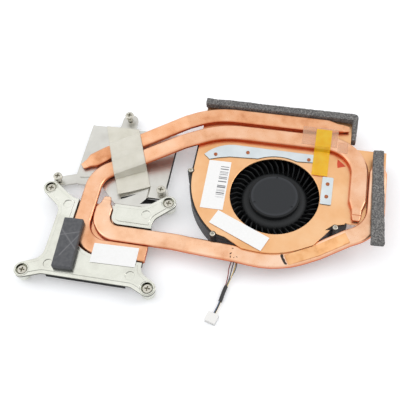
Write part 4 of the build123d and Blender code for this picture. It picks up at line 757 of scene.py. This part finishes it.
def plate_shade_marks():
    """Painted shade: a black patch under the slit beside the raised ear, and a black sliver by the film's
    lifted corner.
    """
    thin_patch("ear_slit_shade", EAR_SLIT_SHADE, PLATE_UNDER - SHADE_SHEET_THICK, SHADE_SHEET_THICK, SHADE_SHEET)
    thin_patch("film_lip_shade", FILM_LIP_SHADE, PLATE_TOP, FILM_LIP_SHADE_THICK, SHADE_SHEET)


def flux_marks():
    """Flux by the fan: a crooked burnt line where the tongue is soldered on, and specks on the front pipe."""
    left = [(x - half, y) for x, y, half in FLUX_LINE]
    right = [(x + half, y) for x, y, half in FLUX_LINE]
    thin_patch("flux_line", left + right[::-1], FRONT_PIPE_TOP, FLUX_RISE, BURNT_FLUX)
    shape = bmesh.new()
    for index, (x, y, radius) in enumerate(FLUX_SPECKS):
        turn = Matrix.Rotation(math.radians(SPECK_TURN * index), 4, "Z")
        place = Matrix.Translation(Vector((x, y, FRONT_PIPE_TOP - radius * SPECK_SINK)) * MM)
        bmesh.ops.create_icosphere(shape, subdivisions=SPECK_SPLITS, radius=radius * MM,
                                   matrix=place @ turn @ Matrix.Diagonal(SPECK_STRETCH))
    mesh = mesh_from(shape, "flux_specks")
    mesh.shade_smooth()
    add_piece("flux_specks", mesh, BROWN_FLUX)


# Fan lead

LEAD_ROUTE = [
    (-13.2, -27.9, 3.3),
    (-13.6, -36.0, 3.0),
    (-14.6, -42.5, 1.4),
    (-16.2, -48.5, 1.05),
    (-17.0, -54.5, 1.05),
    (-18.6, -60.0, 1.05),
]
WIRE_D = 0.46
WIRE_ROUNDNESS = 3
WIRE_SMOOTHNESS = 16
BUNDLE = 0.23
WIRES = {  # colour, place in the bundle, and how far it strays at the route's second and third points
    "red": ("#8a2420", (-BUNDLE, -BUNDLE), (-1.9, 1.2), (-0.5, 0.5)),
    "black": ("#26262a", (BUNDLE, BUNDLE), (-0.7, 0.6), (-0.2, 0.3)),
    "yellow": ("#e2c46a", (BUNDLE, -BUNDLE), (0.9, 1.3), (0.3, 0.6)),
    "blue": ("#76859b", (-BUNDLE, BUNDLE), (2.3, 0.4), (0.5, 0.2)),
}
FIRST_WIRE = "red"  # the one that stands for the lead's plain solid


def lead_wires():
    """Thin wires that spread under the front pipe and run together into the sleeve and the plug."""
    for name, (colour, (side, lift), *strays) in WIRES.items():
        shifts = [(side, lift)] * len(LEAD_ROUTE)
        for place, (stray_side, stray_lift) in enumerate(strays, start=1):
            shifts[place] = (side + stray_side, lift + stray_lift)
        curve = bpy.data.curves.new(f"lead_wire_{name}", "CURVE")
        curve.dimensions = "3D"
        curve.bevel_depth = WIRE_D / 2 * MM
        curve.bevel_resolution = WIRE_ROUNDNESS
        curve.use_fill_caps = True
        line = curve.splines.new("NURBS")
        line.points.add(len(LEAD_ROUTE) - 1)
        for point, (x, y, z), (across, up) in zip(line.points, LEAD_ROUTE, shifts):
            point.co = ((x + across) * MM, y * MM, (z + up) * MM, 1)
        line.order_u = 3
        line.use_endpoint_u = True
        line.resolution_u = WIRE_SMOOTHNESS
        wire = put_in_scene(f"lead_wire_{name}", curve)
        curve.materials.append(wire_skin(f"{name} wire insulation", colour))
        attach(wire, CARRIER)
        if name == FIRST_WIRE:
            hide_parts("fan_lead")


# Stage

WHITE = "#ffffff"
FLOOR_COLOUR = "#f2f4f7"
FLOOR_LIFT = 0.24  # brings the table's lit colour up to the white of its surroundings
FLOOR_SPAN = 3000
FLOOR_DROP = 0.05
OVERHEAD = 0.8  # from this height of the sky upward it is at its brightest
HORIZON_GLOW = 0.15
OVERHEAD_GLOW = 1.0
LEFT_GLOW = 1.5
RIGHT_GLOW = 0.5


def background_shows(tree):
    """One where the pale surroundings are seen, straight on, in gloss or through film, else nought."""
    rays = add_node(tree, "ShaderNodeLightPath").outputs
    seen = rays["Is Camera Ray"]
    for kind in ("Is Glossy Ray", "Is Transmission Ray"):
        seen = add_node(tree, "ShaderNodeMath", {"operation": "MAXIMUM"},
                        {0: seen, 1: rays[kind]}).outputs["Value"]
    return seen


def pale_floor():
    """Matt white table that takes the part's soft shadow."""
    mesh = bpy.data.meshes.new("floor")
    half = FLOOR_SPAN / 2
    corners = [(x * half, y * half, -FLOOR_DROP) for x, y in ((-1, -1), (1, -1), (1, 1), (-1, 1))]
    mesh.from_pydata([Vector(corner) * MM for corner in corners], [], [(0, 1, 2, 3)])
    floor = put_in_scene("floor", mesh)
    material, tree, _ = new_material("white table")
    lift = add_node(tree, "ShaderNodeMath", {"operation": "MULTIPLY", 1: FLOOR_LIFT},
                    {0: background_shows(tree)}).outputs["Value"]
    finish_surface(tree, {"Base Color": linear(FLOOR_COLOUR), "Roughness": 0.9, "Specular IOR Level": 0.1,
                          "Emission Color": linear(WHITE)}, {"Emission Strength": lift})
    mesh.materials.append(material)


def white_room():
    """White surroundings, which light the part from overhead and from the left more than from the horizon."""
    world = bpy.data.worlds.new("white room")
    world.use_nodes = True
    tree = world.node_tree
    tree.nodes.clear()
    way = add_node(tree, "ShaderNodeTexCoord").outputs["Generated"]
    parts = add_node(tree, "ShaderNodeSeparateXYZ", links={"Vector": way}).outputs
    glow = add_node(tree, "ShaderNodeMapRange",
                    {"From Min": 0.0, "From Max": OVERHEAD, "To Min": HORIZON_GLOW, "To Max": OVERHEAD_GLOW},
                    {"Value": parts["Z"]})
    sideways = add_node(tree, "ShaderNodeMapRange",
                        {"From Min": -1.0, "From Max": 1.0, "To Min": LEFT_GLOW, "To Max": RIGHT_GLOW},
                        {"Value": parts["X"]})
    light = add_node(tree, "ShaderNodeMath", {"operation": "MULTIPLY"},
                     {0: glow.outputs["Result"], 1: sideways.outputs["Result"]})
    strength = add_node(tree, "ShaderNodeMath", {"operation": "MAXIMUM"},
                        {0: light.outputs["Value"], 1: background_shows(tree)})
    sky = add_node(tree, "ShaderNodeBackground", {"Color": linear(WHITE)},
                   {"Strength": strength.outputs["Value"]})
    add_node(tree, "ShaderNodeOutputWorld", links={"Surface": sky.outputs["Background"]})
    bpy.context.scene.world = world


place_camera()
lead_wires()
dress_nodes()
foam_strip("rear_foam")
foam_strip("side_foam", askew=True)
rubber_pad()
grey_film()
red_corner()
shade_strip("bracket_edge_shade", **BRACKET_SHADE_STRIP)
shade_strip("plate_edge_shade", **PLATE_SHADE_STRIP)
plate_shade_marks()
flux_marks()
pale_floor()
white_room()
soft_lamp("key lamp", **KEY_LAMP)
soft_lamp("fill lamp", **FILL_LAMP)
bpy.context.scene.view_settings.view_transform = "Standard"
